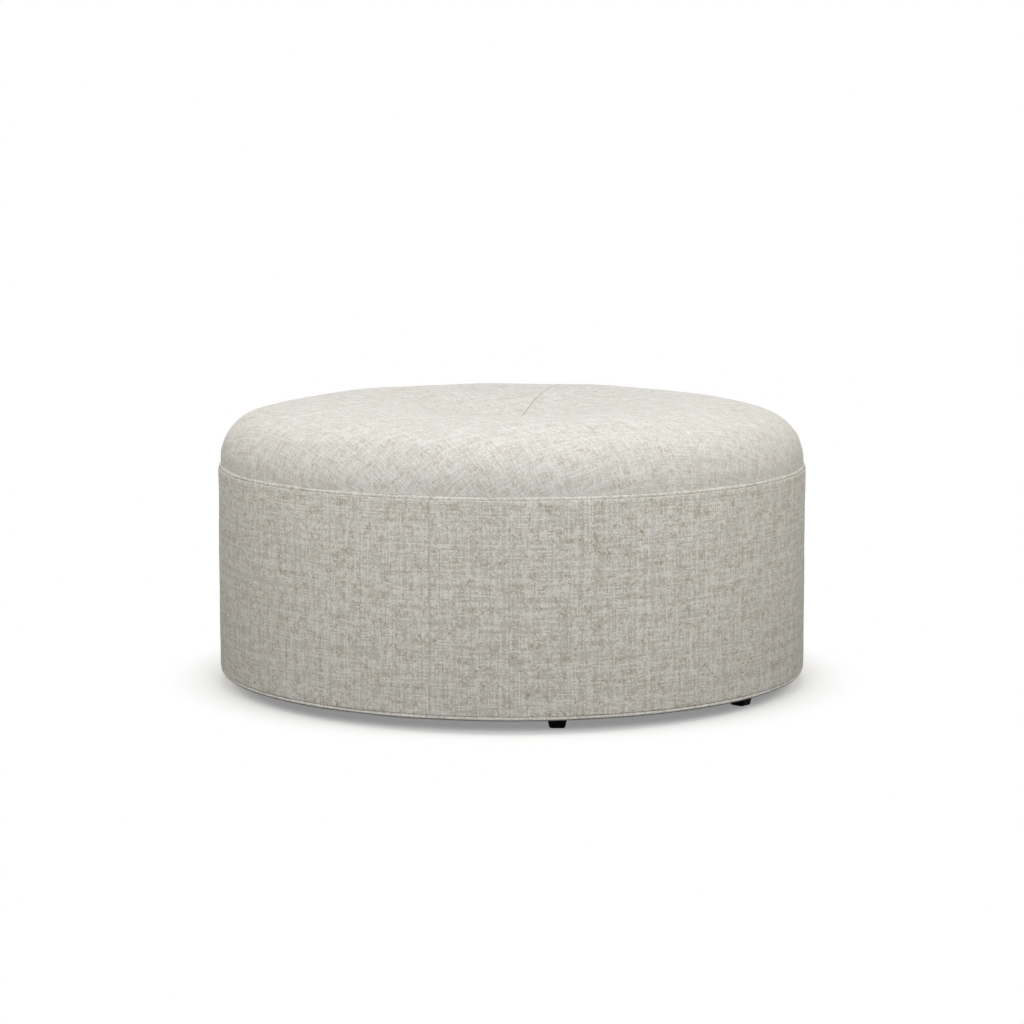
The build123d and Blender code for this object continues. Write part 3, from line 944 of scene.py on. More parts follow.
def finishes() -> list[Finish]:
    """Every finish of the ottoman, one for each material slot, and three more looks of the linen."""
    return [
        Linen(),
        # Crown and button's copy of the linen: painted light, a cooler tone for the top's cooler light, and
        # painted sheen through its veil
        Linen(
            "linen_painted_top_light", veil=0.28,
            ground=(0.598, 0.586, 0.560), pale=(0.812, 0.806, 0.786), umber=(0.37, 0.28, 0.15),
        ),
        # Top welt's copy of the linen: fewer flecks and a slightly paler ground
        Linen("linen_welt_pale", fleck=0.45, ground=(0.62, 0.608, 0.566), pale=(0.82, 0.814, 0.780)),
        # Bottom welt's copy of the linen: painted light, much paler than the linen, and a darker colour for
        # the painted shade under its tube
        Linen(
            "linen_painted_light", fleck=0.35,
            ground=(0.78, 0.766, 0.72), pale=(0.92, 0.914, 0.88), crease_shade=(0.16, 0.15, 0.13),
        ),
        Wadding(),
        Foam(),
        CottonCord(),
        Plywood(),
        Softwood(),
        Mottled("hardboard", low=(0.22, 0.13, 0.07), high=(0.36, 0.23, 0.13), gloss=(0.5, 0.75), fine=1400.0),
        Mottled(
            "black_plastic", specular=0.05, bump=0.00006,
            low=(0.0015, 0.0015, 0.0017), high=(0.0035, 0.0035, 0.0038), gloss=(0.28, 0.5), fine=2200.0,
        ),
        Mottled(
            "black_dust_cloth", sheen=0.1, bump=0.0003,
            low=(0.008, 0.008, 0.009), high=(0.035, 0.035, 0.037), gloss=(0.85, 0.98), fine=1600.0,
        ),
        Mottled(
            "pale_plastic", bump=0.00005,
            low=(0.66, 0.64, 0.58), high=(0.75, 0.73, 0.67), gloss=(0.35, 0.5),
        ),
        Mottled(
            "zinc_steel", metallic=1.0, bump=0.00003,
            low=(0.50, 0.51, 0.52), high=(0.72, 0.72, 0.70), gloss=(0.28, 0.45), coarse=220.0,
        ),
    ]


class Wardrobe:
    """The materials by slot, and the ways to put them on."""

    def __init__(self) -> None:
        """Build every finish once."""
        patterns = Patterns()
        self.materials = {finish.slot: finish.build(patterns) for finish in finishes()}

    def make(self, name: str, patches: list[Patch], slot: str, node: str, look: str = "") -> bpy.types.Object:
        """Build a new piece, give it the material of its slot or look, and attach it to its body.

        Args:
            name: The piece's name.
            patches: Its surfaces.
            slot: The record's material slot.
            node: The CAD node that it stands for.
            look: Name of another finish of the same slot.

        Returns:
            The new object.
        """
        piece = build_object(name, patches)
        piece.data.materials.append(self.materials[look or slot])
        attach(piece, BODY)
        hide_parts(node)
        LOG.info("%s: %d faces, %s", name, len(piece.data.polygons), slot)
        return piece

    def dress_frame(self) -> None:
        """Give every carried-over CAD node the material of its slot."""
        for part in frame["record"]["subparts"]:
            node = frame["nodes"][part["node"]]
            node.data.materials.clear()
            node.data.materials.append(self.materials[part["material_slot"]])
            LOG.info("%s keeps its shape, %s", part["node"], part["material_slot"])


@dataclass
class CrownSection:
    """Half section of the crown in (radius, height), as tangent arcs and lines.

    From the outside in: an upright side, the shoulder, the rise to the crest, the bend into
    the dip, the straight slope, the tuft and the flat under the button. The counts are the
    points of these stretches.
    """

    drum_radius: float
    welt_level: float
    side_inset: float = 0.0042
    side_rise: float = 0.0098
    shoulder: float = 0.0722
    crest_lift: float = 0.0142
    crest_inset: float = 0.1775
    dip_slope: float = math.radians(13.06)
    dip_bend_share: float = 0.73
    tuft: float = 0.034
    tuft_slope: float = math.radians(52)
    flat_radius: float = 0.0164
    hole_radius: float = 0.0016
    counts: tuple = (4, 24, 22, 20, 12, 16, 4)

    def outline(self, inset: float, bottom: float) -> Array:
        """Work out the section drawn in by an inset.

        The rise is an arc that is level at the crest and tangent to the shoulder: with run
        the distance between their centres in plan, its radius is
        (run^2 / lift + lift) / 2 + shoulder.

        Args:
            inset: Distance inside the fabric's face. Every centre stays.
            bottom: Level of the foot of the side.

        Returns:
            Points from the foot of the side to the edge of the hole.
        """
        side, crest = self.drum_radius - self.side_inset, self.drum_radius - self.crest_inset
        shoulder_centre = (side - self.shoulder, self.welt_level + self.side_rise)
        run = shoulder_centre[0] - crest
        rise = (run**2 / self.crest_lift + self.crest_lift) / 2 + self.shoulder
        crest_level = shoulder_centre[1] + self.shoulder + self.crest_lift
        rise_centre = (crest, crest_level - rise)
        lean = math.atan2(shoulder_centre[1] - rise_centre[1], run)

        sine, steep = math.sin(self.dip_slope), math.sin(self.tuft_slope)
        tuft_start = self.flat_radius + self.tuft * (steep - sine)
        bend_run = (crest - tuft_start) * self.dip_bend_share
        bend = bend_run / sine
        bend_centre = (crest, crest_level - bend)
        slope_top = bend_centre[1] + bend * math.cos(self.dip_slope)
        slope_run = crest - bend_run - tuft_start
        tuft_top = slope_top - slope_run * math.tan(self.dip_slope)
        tuft_centre = (tuft_start + self.tuft * sine, tuft_top - self.tuft * math.cos(self.dip_slope))

        n, dipped = self.counts, UPRIGHT + self.dip_slope
        shoulder_arc = arc(shoulder_centre, self.shoulder - inset, 0.0, lean, n[1])
        rise_arc = arc(rise_centre, rise - inset, lean, UPRIGHT, n[2])
        bend_arc = arc(bend_centre, bend - inset, UPRIGHT, dipped, n[3])
        tuft_arc = arc(tuft_centre, self.tuft - inset, dipped, UPRIGHT + self.tuft_slope, n[5])
        return chain(
            line((side - inset, bottom), tuple(shoulder_arc[0]), n[0]),
            shoulder_arc,
            rise_arc,
            bend_arc,
            line(tuple(bend_arc[-1]), tuple(tuft_arc[0]), n[4]),
            tuft_arc,
            line(tuple(tuft_arc[-1]), (self.hole_radius, tuft_arc[-1][1]), n[6]),
        )

    def seat_level(self) -> float:
        """Level of the flat that the button lies on."""
        return float(self.outline(0.0, self.welt_level)[-1][1])


@dataclass
class ClothRun:
    """Simulation of the crown's fabric, blown up from inside and held at its sewn edges."""

    columns: int = 176
    frames: int = 20
    pressure: float = 1.0
    ease: float = 0.006
    cap: float = 0.0006
    held_rows: int = 2
    held_margin: float = 0.002
    finest: int = 44
    quality: int = 5
    mass: float = 0.3
    stretch_stiffness: float = 40.0
    shear_stiffness: float = 15.0
    bending_stiffness: float = 2.0

    def even_columns(self) -> Array:
        """Evenly spaced azimuths of the run."""
        return np.arange(self.columns) * FULL_TURN / self.columns

    def sheet(self, points: Array, held: Array) -> bpy.types.Object:
        """Make the fabric as one open grid, with a group of the points that don't move.

        Args:
            points: Places of rows and columns.
            held: Rows that don't move.

        Returns:
            The grid.
        """
        blank = np.zeros(points.shape[:2])
        pattern = np.zeros((points.shape[0], points.shape[1] + 1, 2))
        sheet = build_object("crown_cloth_run", [Patch(points, pattern, blank, closed_rows=False)])
        group = sheet.vertex_groups.new(name="held")
        group.add(np.flatnonzero(np.repeat(held, self.columns)).tolist(), 1.0, "REPLACE")
        return sheet

    def settle(self, sheet: bpy.types.Object) -> Array:
        """Run the cloth for its frames.

        Args:
            sheet: The grid, which is deleted at the end.

        Returns:
            The settled points.
        """
        modifier = sheet.modifiers.new("cloth", "CLOTH")
        cloth = modifier.settings
        cloth.quality, cloth.mass = self.quality, self.mass
        cloth.tension_stiffness = cloth.compression_stiffness = self.stretch_stiffness
        cloth.shear_stiffness, cloth.bending_stiffness = self.shear_stiffness, self.bending_stiffness
        cloth.use_pressure, cloth.uniform_pressure_force = True, self.pressure
        cloth.shrink_min = -self.ease
        cloth.vertex_group_mass = "held"
        cloth.effector_weights.gravity = 0.0
        modifier.point_cache.frame_start, modifier.point_cache.frame_end = 1, self.frames
        scene = bpy.context.scene
        for frame_number in range(1, self.frames + 1):
            scene.frame_set(frame_number)
        evaluated = sheet.evaluated_get(bpy.context.evaluated_depsgraph_get())
        settled = bpy.data.meshes.new_from_object(evaluated)
        points = np.empty(len(settled.vertices) * 3, np.float32)
        settled.vertices.foreach_get("co", points)
        bpy.data.meshes.remove(settled)
        mesh = sheet.data
        bpy.data.objects.remove(sheet)
        bpy.data.meshes.remove(mesh)
        scene.frame_set(1)
        return points.reshape(-1, 3).astype(float)

    def offsets(self, section: Array, start: Array, held: Array, around: Array) -> Array:
        """Height that the run adds to each point of the crown.

        The mean round the drum of the move along the normal is taken off, so that the drawn
        section stays. The rest is capped as cap * tanh(move / cap), and carried over to the
        wanted azimuths by its Fourier sum up to the finest wave.

        Args:
            section: Rows of (radius, height).
            start: Relief that the fabric starts from, on this run's even columns.
            held: Rows that don't move.
            around: Azimuths of the wanted columns.

        Returns:
            Heights of rows and wanted columns.
        """
        even = self.even_columns()
        points = revolved(section, even, start)
        moved = self.settle(self.sheet(points, held)).reshape(points.shape) - points
        slant = section_normals(section)
        outwards, upwards = slant[:, :1], np.repeat(slant[:, 1:], len(even), 1)
        normals = np.stack([outwards * np.sin(even), -outwards * np.cos(even), upwards], -1)
        rise = np.sum(moved * normals, -1)
        rise -= rise.mean(axis=1, keepdims=True)
        LOG.info("cloth run moved points by up to %.2f mm from their ring's mean", 1000 * np.abs(rise).max())
        rise = self.cap * np.tanh(rise / self.cap)
        waves_found = np.fft.rfft(rise, axis=1)[:, 1:self.finest + 1] / self.columns
        turns = np.arange(1, self.finest + 1)[:, None] * around[None, :]
        return 2 * np.real(waves_found @ np.exp(1j * turns))


@dataclass
class Crown:
    """The padded top: sewn cover, fibre wrap and foam."""

    section: CrownSection
    ring_radius: float
    hem_radius: float
    step: Step
    deck: float
    welt_radius: float
    columns: int = 340
    fold_rows: int = 8
    stuffing: float = 0.0007
    stuffing_waves: Waves = Waves(5, (2, 11), (0.18, 0.6))
    hem_fade: float = 0.05
    button_fade: float = 0.08
    rim_pull: float = 0.0005
    pull_waves: Waves = Waves(8, (60, 150), (0.10, 0.5))
    pull_reach: float = 0.028
    pull_start: float = 0.006
    pleats: int = 14
    pleat_depth: float = 0.0016
    pleat_reach: float = 0.020
    pleat_middle: float = 0.3
    pleat_wander: float = 0.8
    pleat_waves: Waves = Waves(13, (1, 5), (0.3, 0.9), 6)
    sewn: SewnLine = SewnLine(0.0010, 0.0005, 0.9, 0.00022, 0.017, 0.012)
    line_widths: tuple = (0.8, 2.2)
    shoulder_height: float = 0.00035
    shoulder_offset: float = 0.005
    shoulder_width: float = 0.004
    lump: float = 0.0006
    lump_waves: Waves = Waves(21, (9, 40), (0.04, 0.12))
    cloth: ClothRun = field(default_factory=ClothRun)

    def __post_init__(self) -> None:
        """Lay out the columns, and the rows of the fabric's face."""
        self.around = azimuths(BACK, self.columns)
        self.face = self.section.outline(0.0, self.section.welt_level + self.welt_radius)
        self.along = lengths_along(self.face)

    def relief(self) -> Array:
        """Height of the fabric above its section: its unevenness, settled by a cloth run.

        Returns: Heights of rows and columns.
        """
        drawn = self.unevenness(self.around)
        held = self.face[:, 0] < self.section.flat_radius + self.cloth.held_margin
        held[:self.cloth.held_rows] = True
        start = self.unevenness(self.cloth.even_columns())
        return drawn + self.cloth.offsets(self.face, start, held, self.around)

    def unevenness(self, around: Array) -> Array:
        """Height of the fabric before it settles.

        Sum of: stuffing, broad waves that fade at the hem and the button; pulls, short waves
        round the hem that fade as exp(-distance / pull reach); and pleats, cos(pleats *
        azimuth) pinched by its own waves, that fade as exp(-distance / pleat reach).

        Args:
            around: Azimuths of the columns.

        Returns:
            Heights of rows and columns.
        """
        from_hem, from_button = self.along, self.along[-1] - self.along
        broad = self.stuffing_waves.over(around, self.along)
        broad *= (np.tanh(from_hem / self.hem_fade) * np.tanh(from_button / self.button_fade))[:, None]
        pull = self.pull_waves.over(around, self.along)
        pull *= (np.exp(-from_hem / self.pull_reach) * np.tanh(from_hem / self.pull_start))[:, None]
        wander = self.pleat_wander * self.pleat_waves.over(around, self.along)
        flat = self.section.flat_radius
        out = np.maximum(self.face[:, 0], flat) - flat
        reach = np.exp(-out / self.pleat_reach) * (self.face[:, 0] > flat)
        pleat = np.cos(self.pleats * around[None, :] + wander) - self.pleat_middle
        return self.stuffing * broad + self.rim_pull * pull + self.pleat_depth * reach[:, None] * pleat

    def seam(self) -> tuple[Array, Array]:
        """The radial closing seam at the back.

        Returns:
            Its relief, a narrow groove between two soft shoulders, and its mask of painted shade in the
            groove, which widens towards the rim.
        """
        off = np.abs(apart(self.around, BACK))[None, :] * self.face[:, :1]
        narrow, wide = self.line_widths
        widening = narrow + (wide - narrow) * self.face[:, :1] / self.section.drum_radius
        beside = (off - self.shoulder_offset) ** 2 / self.shoulder_width**2
        shoulders = self.shoulder_height * np.exp(-beside)
        relief = shoulders + self.sewn.puckers(off, self.along) - self.sewn.depth * self.sewn.groove(off)
        # Painted shade along the seam's groove, wider towards the rim
        return relief, self.sewn.shade * self.sewn.groove(off, widening)

    def hemmed(self, inset: float) -> Array:
        """One face of the cover, from its hem round the welt's top and over the crown.

        Args:
            inset: Distance inside the fabric's face.

        Returns:
            Points from the hem to the edge of the hole.
        """
        fold = self.welt_radius + LAYER_GAP + inset
        shelf = ALLOWANCE / 2 + inset
        across = self.section.drum_radius - self.section.side_inset - inset - self.ring_radius
        centre = (self.ring_radius, self.section.welt_level)
        start, end = math.pi - math.asin(shelf / fold), math.acos(across / fold)
        bend = arc(centre, fold, start, end, self.fold_rows)
        tuck = chain(self.step.path(self.hem_radius, shelf, self.section.welt_level), bend)
        return np.concatenate([tuck[:-1], self.section.outline(inset, float(bend[-1][1]))])

    def build_cover(self, wardrobe: Wardrobe, relief: Array) -> None:
        """Make the sewn cover from its two faces, with the closing seam in both.

        Args:
            wardrobe: What the pieces are dressed from.
            relief: Height of the fabric above its section.
        """
        seam, crease = self.seam()
        outer, inner = self.hemmed(0.0), self.hemmed(FABRIC)
        tucked = ((len(outer) - len(self.face), 0), (0, 0))
        rows, creases = np.pad(relief + seam, tucked), np.pad(crease, tucked)
        out = lengths_along(outer)
        distance = out[-1] - out + self.section.hole_radius
        pattern = disc_pattern(np.append(there_and_back(distance), distance[0]), self.around, Lay.BIAS)
        section = np.concatenate([outer, inner[::-1]])
        patch = swept(section, self.around, pattern, there_and_back(rows), there_and_back(creases))
        cover = wardrobe.make("crown_linen", [patch], "linen_weave", "crown_cover", "linen_painted_top_light")

    def build_filling(self, wardrobe: Wardrobe, relief: Array) -> None:
        """Make the fibre wrap and the foam, lumpy on the side that meets the fabric.

        Args:
            wardrobe: What the pieces are dressed from.
            relief: Height of the fabric above its section.
        """
        soft = np.minimum(relief + self.seam()[0], 0.0)
        lumps = self.lump * np.abs(self.lump_waves.over(self.around, self.along))
        start = FABRIC + LAYER_GAP
        foam_bottom = self.step.level + ALLOWANCE / 2 + start
        wrap_bottom = max(self.section.welt_level + self.welt_radius + LAYER_GAP + start, foam_bottom)

        faces = [self.section.outline(inset, wrap_bottom) for inset in (start, start + WADDING)]
        section = np.concatenate([faces[0], faces[1][::-1]])
        pattern = disc_pattern(loop_lengths(section), self.around, Lay.STRAIGHT)
        wrap = swept(section, self.around, pattern, there_and_back(soft - lumps))
        piece = wardrobe.make("crown_fibre_wrap", [wrap], "polyester_wadding", "crown_batting")

        dome = self.section.outline(start + WADDING + LAYER_GAP, foam_bottom)
        rebate, floor = self.hem_radius - LAYER_GAP, self.deck + LAYER_GAP
        base = [(self.section.hole_radius, floor), (rebate, floor), (rebate, foam_bottom)]
        section = np.concatenate([dome, base])
        rows = np.concatenate([soft - lumps / 2, np.zeros((len(base), len(self.around)))])
        pattern = disc_pattern(loop_lengths(section), self.around, Lay.STRAIGHT)
        block = swept(section, self.around, pattern, rows)
        piece = wardrobe.make("crown_foam_block", [block], "seat_foam", "crown_foam")

    def build(self, wardrobe: Wardrobe) -> None:
        """Make the cover and what fills it."""
        relief = self.relief()
        self.build_cover(wardrobe, relief)
        self.build_filling(wardrobe, relief)


@dataclass
class Welt:
    """Piping: a bias-cut sleeve round a cord, with its seam allowance turned inwards."""

    name: str
    level: float
    ring_radius: float
    allowance_radius: float
    step: Step
    radius: float
    seed: int
    # Strength of the painted shade under the tube, where it faces down
    under_shade: float = 0.0
    look: str = "linen_welt_pale"
    slack: float = 0.0001
    columns: int = 620
    joint_azimuth: float = math.radians(148)
    joint_slant: float = 0.5
    joint_width: float = 0.0009
    joint_depth: float = 0.0006
    # Strength of the painted shade in the joint's groove
    joint_shade: float = 0.7
    ripple: float = 0.00010
    ripple_waves: tuple = ((70, 230), (0.02, 0.08))
    wander: float = 0.00014
    wander_waves: tuple = ((5, 26), (1.0, 3.0), 10)
    pattern_step: float = 0.61
    under_shares: tuple = (0.35, 0.7)
    tube_rows: int = 22
    core_rows: int = 13

    def __post_init__(self) -> None:
        """Lay out the columns, which draw together at the sleeve's slanting joint."""
        self.around = azimuths(self.joint_azimuth, self.columns, finest=0.002)
        self.centre = (self.ring_radius, self.level)

    def ring(self, section: Array, lay: Lay) -> Patch:
        """Plain closed surface along the welt's ring."""
        pattern = strip_pattern(loop_lengths(section), self.around, self.ring_radius, lay)
        return swept(section, self.around, pattern)

    def sleeve(self, tube: Array, flange: Array) -> Patch:
        """Outside of the sleeve, whose ripples and joint fade as the root of a sine to the hems.

        Args:
            tube: Its round stretch, from the mouth below to the mouth above.
            flange: Both faces of the allowance, from the upper foot to the lower one.

        Returns:
            The surface with its slanting joint, painted shade in the joint, and painted shade under the tube.
        """
        section, around = np.concatenate([tube, flange]), self.around
        along = lengths_along(section)
        ripple = self.ripple * Waves(self.seed, *self.ripple_waves).over(around, along)
        wander = self.wander * Waves(self.seed + 1, *self.wander_waves).over(around, along)
        middle = np.abs(along - along[self.tube_rows // 2])[:, None]
        off = np.abs(apart(around, around[0]))[None, :] * self.ring_radius + self.joint_slant * middle
        joint = np.exp(-((off / self.joint_width) ** 2))
        face = (np.arange(len(section)) < len(tube)).astype(float)[:, None]
        fade = np.sin(np.linspace(0, math.pi, len(section)))[:, None] ** 0.5
        relief = (ripple + wander - self.joint_depth * joint) * face * fade
        # Painted shade under the tube, where it faces down, and along the joint's groove
        low, high = self.under_shares
        drop = (self.level - section[:, 1:]) / self.radius
        below = np.clip((drop - low) / (high - low), 0.0, 1.0) * face
        crease = np.maximum(self.joint_shade * joint * face, self.under_shade * below)
        start = self.seed * self.pattern_step
        pattern = strip_pattern(loop_lengths(section), around, self.ring_radius, Lay.BIAS, start)
        return swept(section, around, pattern, relief, crease)

    def build(self, wardrobe: Wardrobe) -> None:
        """Make the sleeve, with its round bore and its doubled allowance, and the cord in it.

        Args:
            wardrobe: What the pieces are dressed from.
        """
        half = ALLOWANCE / 2
        mouth = math.atan2(half, math.sqrt(self.radius**2 - half**2))
        tube = arc(self.centre, self.radius, mouth - math.pi, math.pi - mouth, self.tube_rows)
        upper, lower = (self.step.path(self.allowance_radius, side, self.level) for side in (half, -half))
        sleeve = self.sleeve(tube, np.concatenate([upper[::-1], lower]))
        bore = arc(self.centre, self.radius - FABRIC, FULL_TURN, 0.0, self.core_rows)[:-1]
        patches = [sleeve, self.ring(bore, Lay.BIAS)]
        piece = wardrobe.make(self.name + "_linen", patches, "linen_weave", self.name + "_cover", self.look)

        core = arc(self.centre, self.radius - FABRIC - self.slack, 0.0, FULL_TURN, self.core_rows)[:-1]
        patches = [self.ring(core, Lay.STRAIGHT)]
        wardrobe.make(self.name + "_core", patches, "cotton_cord", self.name + "_cord")


@dataclass
class SideBand:
    """The fabric side of the drum, folded round both welts, and the wadding behind it."""

    radius: float
    top_level: float
    bottom_level: float
    ring_radius: float
    hem_radius: float
    lip_radius: float
    top_step: Step
    low_step: Step
    top_welt: float
    low_welt: float
    roll: float = 0.0014
    seam_allowance: float = 0.012
    columns: int = 380
    wall_rows: int = 44
    fold_rows: int = 9
    low_fold: float = 0.026
    top_fold: float = 0.0245
    fold_fade: float = 0.03
    slack: float = 0.00045
    slack_waves: Waves = Waves(31, (4, 26), (0.12, 0.9))
    short: float = 0.00022
    short_waves: Waves = Waves(37, (40, 110), (0.25, 0.9))
    sewn: SewnLine = SewnLine(0.0007, 0.0005, 0.5, 0.00012, 0.013, 0.009)
    ridge: float = 0.0003
    ridge_offset: float = 0.011
    ridge_width: float = 0.0012
    lump: float = 0.0005
    lump_waves: Waves = Waves(41, (20, 90), (0.04, 0.16))
    wadding_rows: int = 30

    def fold(self, level: float, up: int, inner: bool) -> Array:
        """Points of one face where the fabric bends round a welt and rolls out to the wall.

        Args:
            level: The welt's level.
            up: 1 where the fabric stands above the welt, -1 where it hangs below.
            inner: True for the fabric's hidden face.

        Returns:
            Points from the hem to the wall.
        """
        depth = FABRIC if inner else 0.0
        welt_radius = self.low_welt if up == 1 else self.top_welt
        fold, shelf = welt_radius + LAYER_GAP + depth, ALLOWANCE / 2 + depth
        span = welt_radius + LAYER_GAP + self.roll
        across = self.radius - self.roll - self.ring_radius
        lean = math.acos(across / span)
        roll_centre = (self.radius - self.roll, level + up * math.sqrt(span**2 - across**2))
        mouth = math.asin(shelf / fold)
        bend = arc((self.ring_radius, level), fold, up * (math.pi - mouth), up * lean, self.fold_rows)
        edge = arc(roll_centre, self.roll - depth, up * (lean - math.pi), 0.0, self.fold_rows)
        hem, step = (self.lip_radius, self.low_step) if up == 1 else (self.hem_radius, self.top_step)
        return chain(step.path(hem, up * shelf, level), bend, edge)

    def face(self, inner: bool) -> Array:
        """One face of the fabric, from the lower hem to the upper one."""
        low, high = self.fold(self.bottom_level, 1, inner), self.fold(self.top_level, -1, inner)[::-1]
        return chain(low, line(tuple(low[-1]), tuple(high[0]), self.wall_rows), high)

    def relief(self, along: Array, around: Array) -> tuple[Array, Array]:
        """Relief of the face and its mask of painted shade in the seam.

        Sum of: slack, broad waves between the folds; short waves beside the folds; a soft
        ridge each side of the closing seam, where its allowances lie behind; and the seam's
        own narrow groove and puckers.

        Args:
            along: Distance of each row from the lower hem.
            around: Azimuths of the columns.

        Returns:
            Heights of rows and columns, and the seam's painted shade there.
        """
        reach = np.minimum(along - self.low_fold, along[-1] - self.top_fold - along)
        edge = np.clip(reach / self.fold_fade, 0, 1)[:, None]
        inside = edge > 0
        broad = self.slack * self.slack_waves.over(around, along) * edge
        short = self.short * self.short_waves.over(around, along) * (1 - edge) * inside
        off = np.abs(apart(around, FRONT))[None, :] * self.radius
        groove = self.sewn.groove(off) * np.ones_like(along)[:, None]
        ridge = self.ridge * (1 - 1 / (1 + np.exp(-(off - self.ridge_offset) / self.ridge_width)))
        sewn = (ridge + self.sewn.puckers(off, along)) * inside - self.sewn.depth * groove
        # Painted shade along the seam's groove
        return broad + short + sewn, self.sewn.shade * groove

    def build_wadding(self, wardrobe: Wardrobe, around: Array, low: float, high: float) -> None:
        """Make the wadding between two levels, lumpy where it meets the fabric.

        Args:
            wardrobe: What the pieces are dressed from.
            around: Azimuths of the columns.
            low: Level of its foot.
            high: Level of its top.
        """
        outer = self.radius - FABRIC - LAYER_GAP
        inner, rows = outer - WADDING, self.wadding_rows
        faces = [line((outer, low), (outer, high), rows), line((inner, high), (inner, low), rows)]
        ring = np.concatenate(faces)
        lumps = -self.lump * np.abs(self.lump_waves.over(around, lengths_along(ring[:rows])))
        fade = np.sin(np.linspace(0, math.pi, rows))[:, None] ** 0.5
        relief = np.pad(lumps * fade, ((0, rows), (0, 0)))
        pattern = strip_pattern(loop_lengths(ring), around, outer, Lay.STRAIGHT)
        padding = swept(ring, around, pattern, relief)
        piece = wardrobe.make("band_wadding", [padding], "polyester_wadding", "band_padding")

    def build(self, wardrobe: Wardrobe) -> None:
        """Make the side fabric and the wadding.

        Args:
            wardrobe: What the pieces are dressed from.
        """
        around = azimuths(FRONT, self.columns)
        outside, inside = self.face(False), self.face(True)
        along = lengths_along(outside)
        relief, crease = self.relief(along, around)
        section = np.concatenate([outside, inside[::-1]])
        distances = np.append(there_and_back(along), along[0])
        pattern = strip_pattern(distances, around, self.radius, Lay.STRAIGHT)
        cloth = swept(section, around, pattern, there_and_back(relief), there_and_back(crease))
        band = wardrobe.make("band_linen", [cloth], "linen_weave", "band_cover")

        folded = len(self.fold(self.bottom_level, 1, True))
        low, high = inside[folded - 1][1] + LAYER_GAP, inside[-folded][1] - LAYER_GAP
        self.build_wadding(wardrobe, around, low, high)


@dataclass
class CoveredButton:
    """Fabric cap of the button that draws the crown down in the middle."""

    level: float
    radius: float = 0.016
    rise: float = 0.0065
    edge: float = 0.0025
    wall: float = 0.0009
    columns: int = 160
    dome_rows: int = 22
    rim_rows: int = 4
    tucks: int = 18
    tuck_depth: float = 0.00072
    # Strength of the painted shade in the tucks
    tuck_shade: float = 0.35
    tuck_shifts: tuple = ((0.9, 3, 1.0), (0.6, 5, 0.0))
    rim_power: int = 6

    def dome(self, inset: float) -> Array:
        """One face of the cap, from its foot to the axis: an upright rim and a spherical top.

        Args:
            inset: Distance inside the cap's face.

        Returns:
            Points from the foot to the axis.
        """
        radius, rise, edge = self.radius - inset, self.rise - inset / 2, self.edge - inset / 2
        sphere = (radius**2 + rise**2) / (2 * rise)
        centre = self.level + edge + rise - sphere
        start = math.atan2(self.level + edge - centre, radius)
        top = arc((0.0, centre), sphere, start, UPRIGHT, self.dome_rows)
        top[-1, 0] = 0.0
        return chain(line((radius, self.level), (radius, self.level + edge), self.rim_rows), top)

    def build(self, wardrobe: Wardrobe) -> None:
        """Make the cap, with tucks that deepen towards the rim as (radius share)^rim power, and painted shade
        in them.

        Args:
            wardrobe: What the pieces are dressed from.
        """
        around = azimuths(BACK, self.columns, finest=0.02)
        outer, inner = self.dome(0.0), self.dome(self.wall)[::-1]
        share = ((outer[:, 0] / self.radius) ** self.rim_power)[:, None]
        shift = sum(size * np.sin(turns * around + phase) for size, turns, phase in self.tuck_shifts)
        hollow = 1 - np.abs(np.cos(self.tucks / 2 * around + shift))[None, :]
        above = ((len(inner), 0), (0, 0))
        rows = np.pad(-self.tuck_depth * share * hollow**2, above)
        # Painted shade in the tucks, deeper towards the rim
        crease = np.pad(self.tuck_shade * share * hollow**3, above)
        distance = lengths_along(outer)[-1] - lengths_along(outer)
        pattern = disc_pattern(there_and_back(distance[::-1]), around, Lay.BIAS)
        cap = swept(np.concatenate([inner, outer]), around, pattern, rows, crease, closed_rows=False)
        piece = wardrobe.make("centre_button_linen", [cap], "linen_weave", "centre_button_cover", "linen_painted_top_light")


@dataclass
class DustCloth:
    """Thin black cloth stapled under the base."""

    top: float
    radius: float
    step_radius: float
    step: float = 0.0022
    thickness: float = 0.0005
    columns: int = 240
    rows: tuple = (46, 3, 3)
    sag: float = 0.0016
    fold_depth: float = 0.0016
    fold_waves: Waves = Waves(51, (3, 24), (0.15, 0.6))
    highest_fold: float = 0.3
    board_radius: float = 0.346

    def build(self, wardrobe: Wardrobe) -> None:
        """Make the cloth: it hangs a little inside the frame's ring, in shallow folds.

        The sag is sag * (1 - (r / board radius)^2), and the folds are waves that grow
        towards the ring's inner edge and end there.

        Args:
            wardrobe: What the pieces are dressed from.
        """
        around = azimuths(FRONT, self.columns, finest=0.02)
        upper, under = self.top - self.thickness, self.top - self.step - self.thickness
        inner = self.step_radius - self.step
        lower = chain(
            line((0.0, upper), (inner, upper), self.rows[0]),
            line((inner, upper), (self.step_radius, under), self.rows[1]),
            line((self.step_radius, under), (self.radius, under), self.rows[2]),
        )
        share = np.clip(lower[:, 0] / self.board_radius, 0, 1)[:, None]
        folds = self.fold_waves.over(around, lower[:, 0]) * share * (1 - share)
        drop = self.sag * (1 - share**2) + self.fold_depth * np.maximum(folds, -self.highest_fold)
        section = np.concatenate([lower, lower[::-1] + (0.0, self.thickness)])
        pattern = disc_pattern(there_and_back(lower[:, 0]), around, Lay.STRAIGHT)
        cloth = swept(section, around, pattern, closed_rows=False)
        cloth.points[..., 2] -= there_and_back(drop)
        piece = wardrobe.make("dust_cloth", [cloth], "black_dust_cloth", "dust_cover")


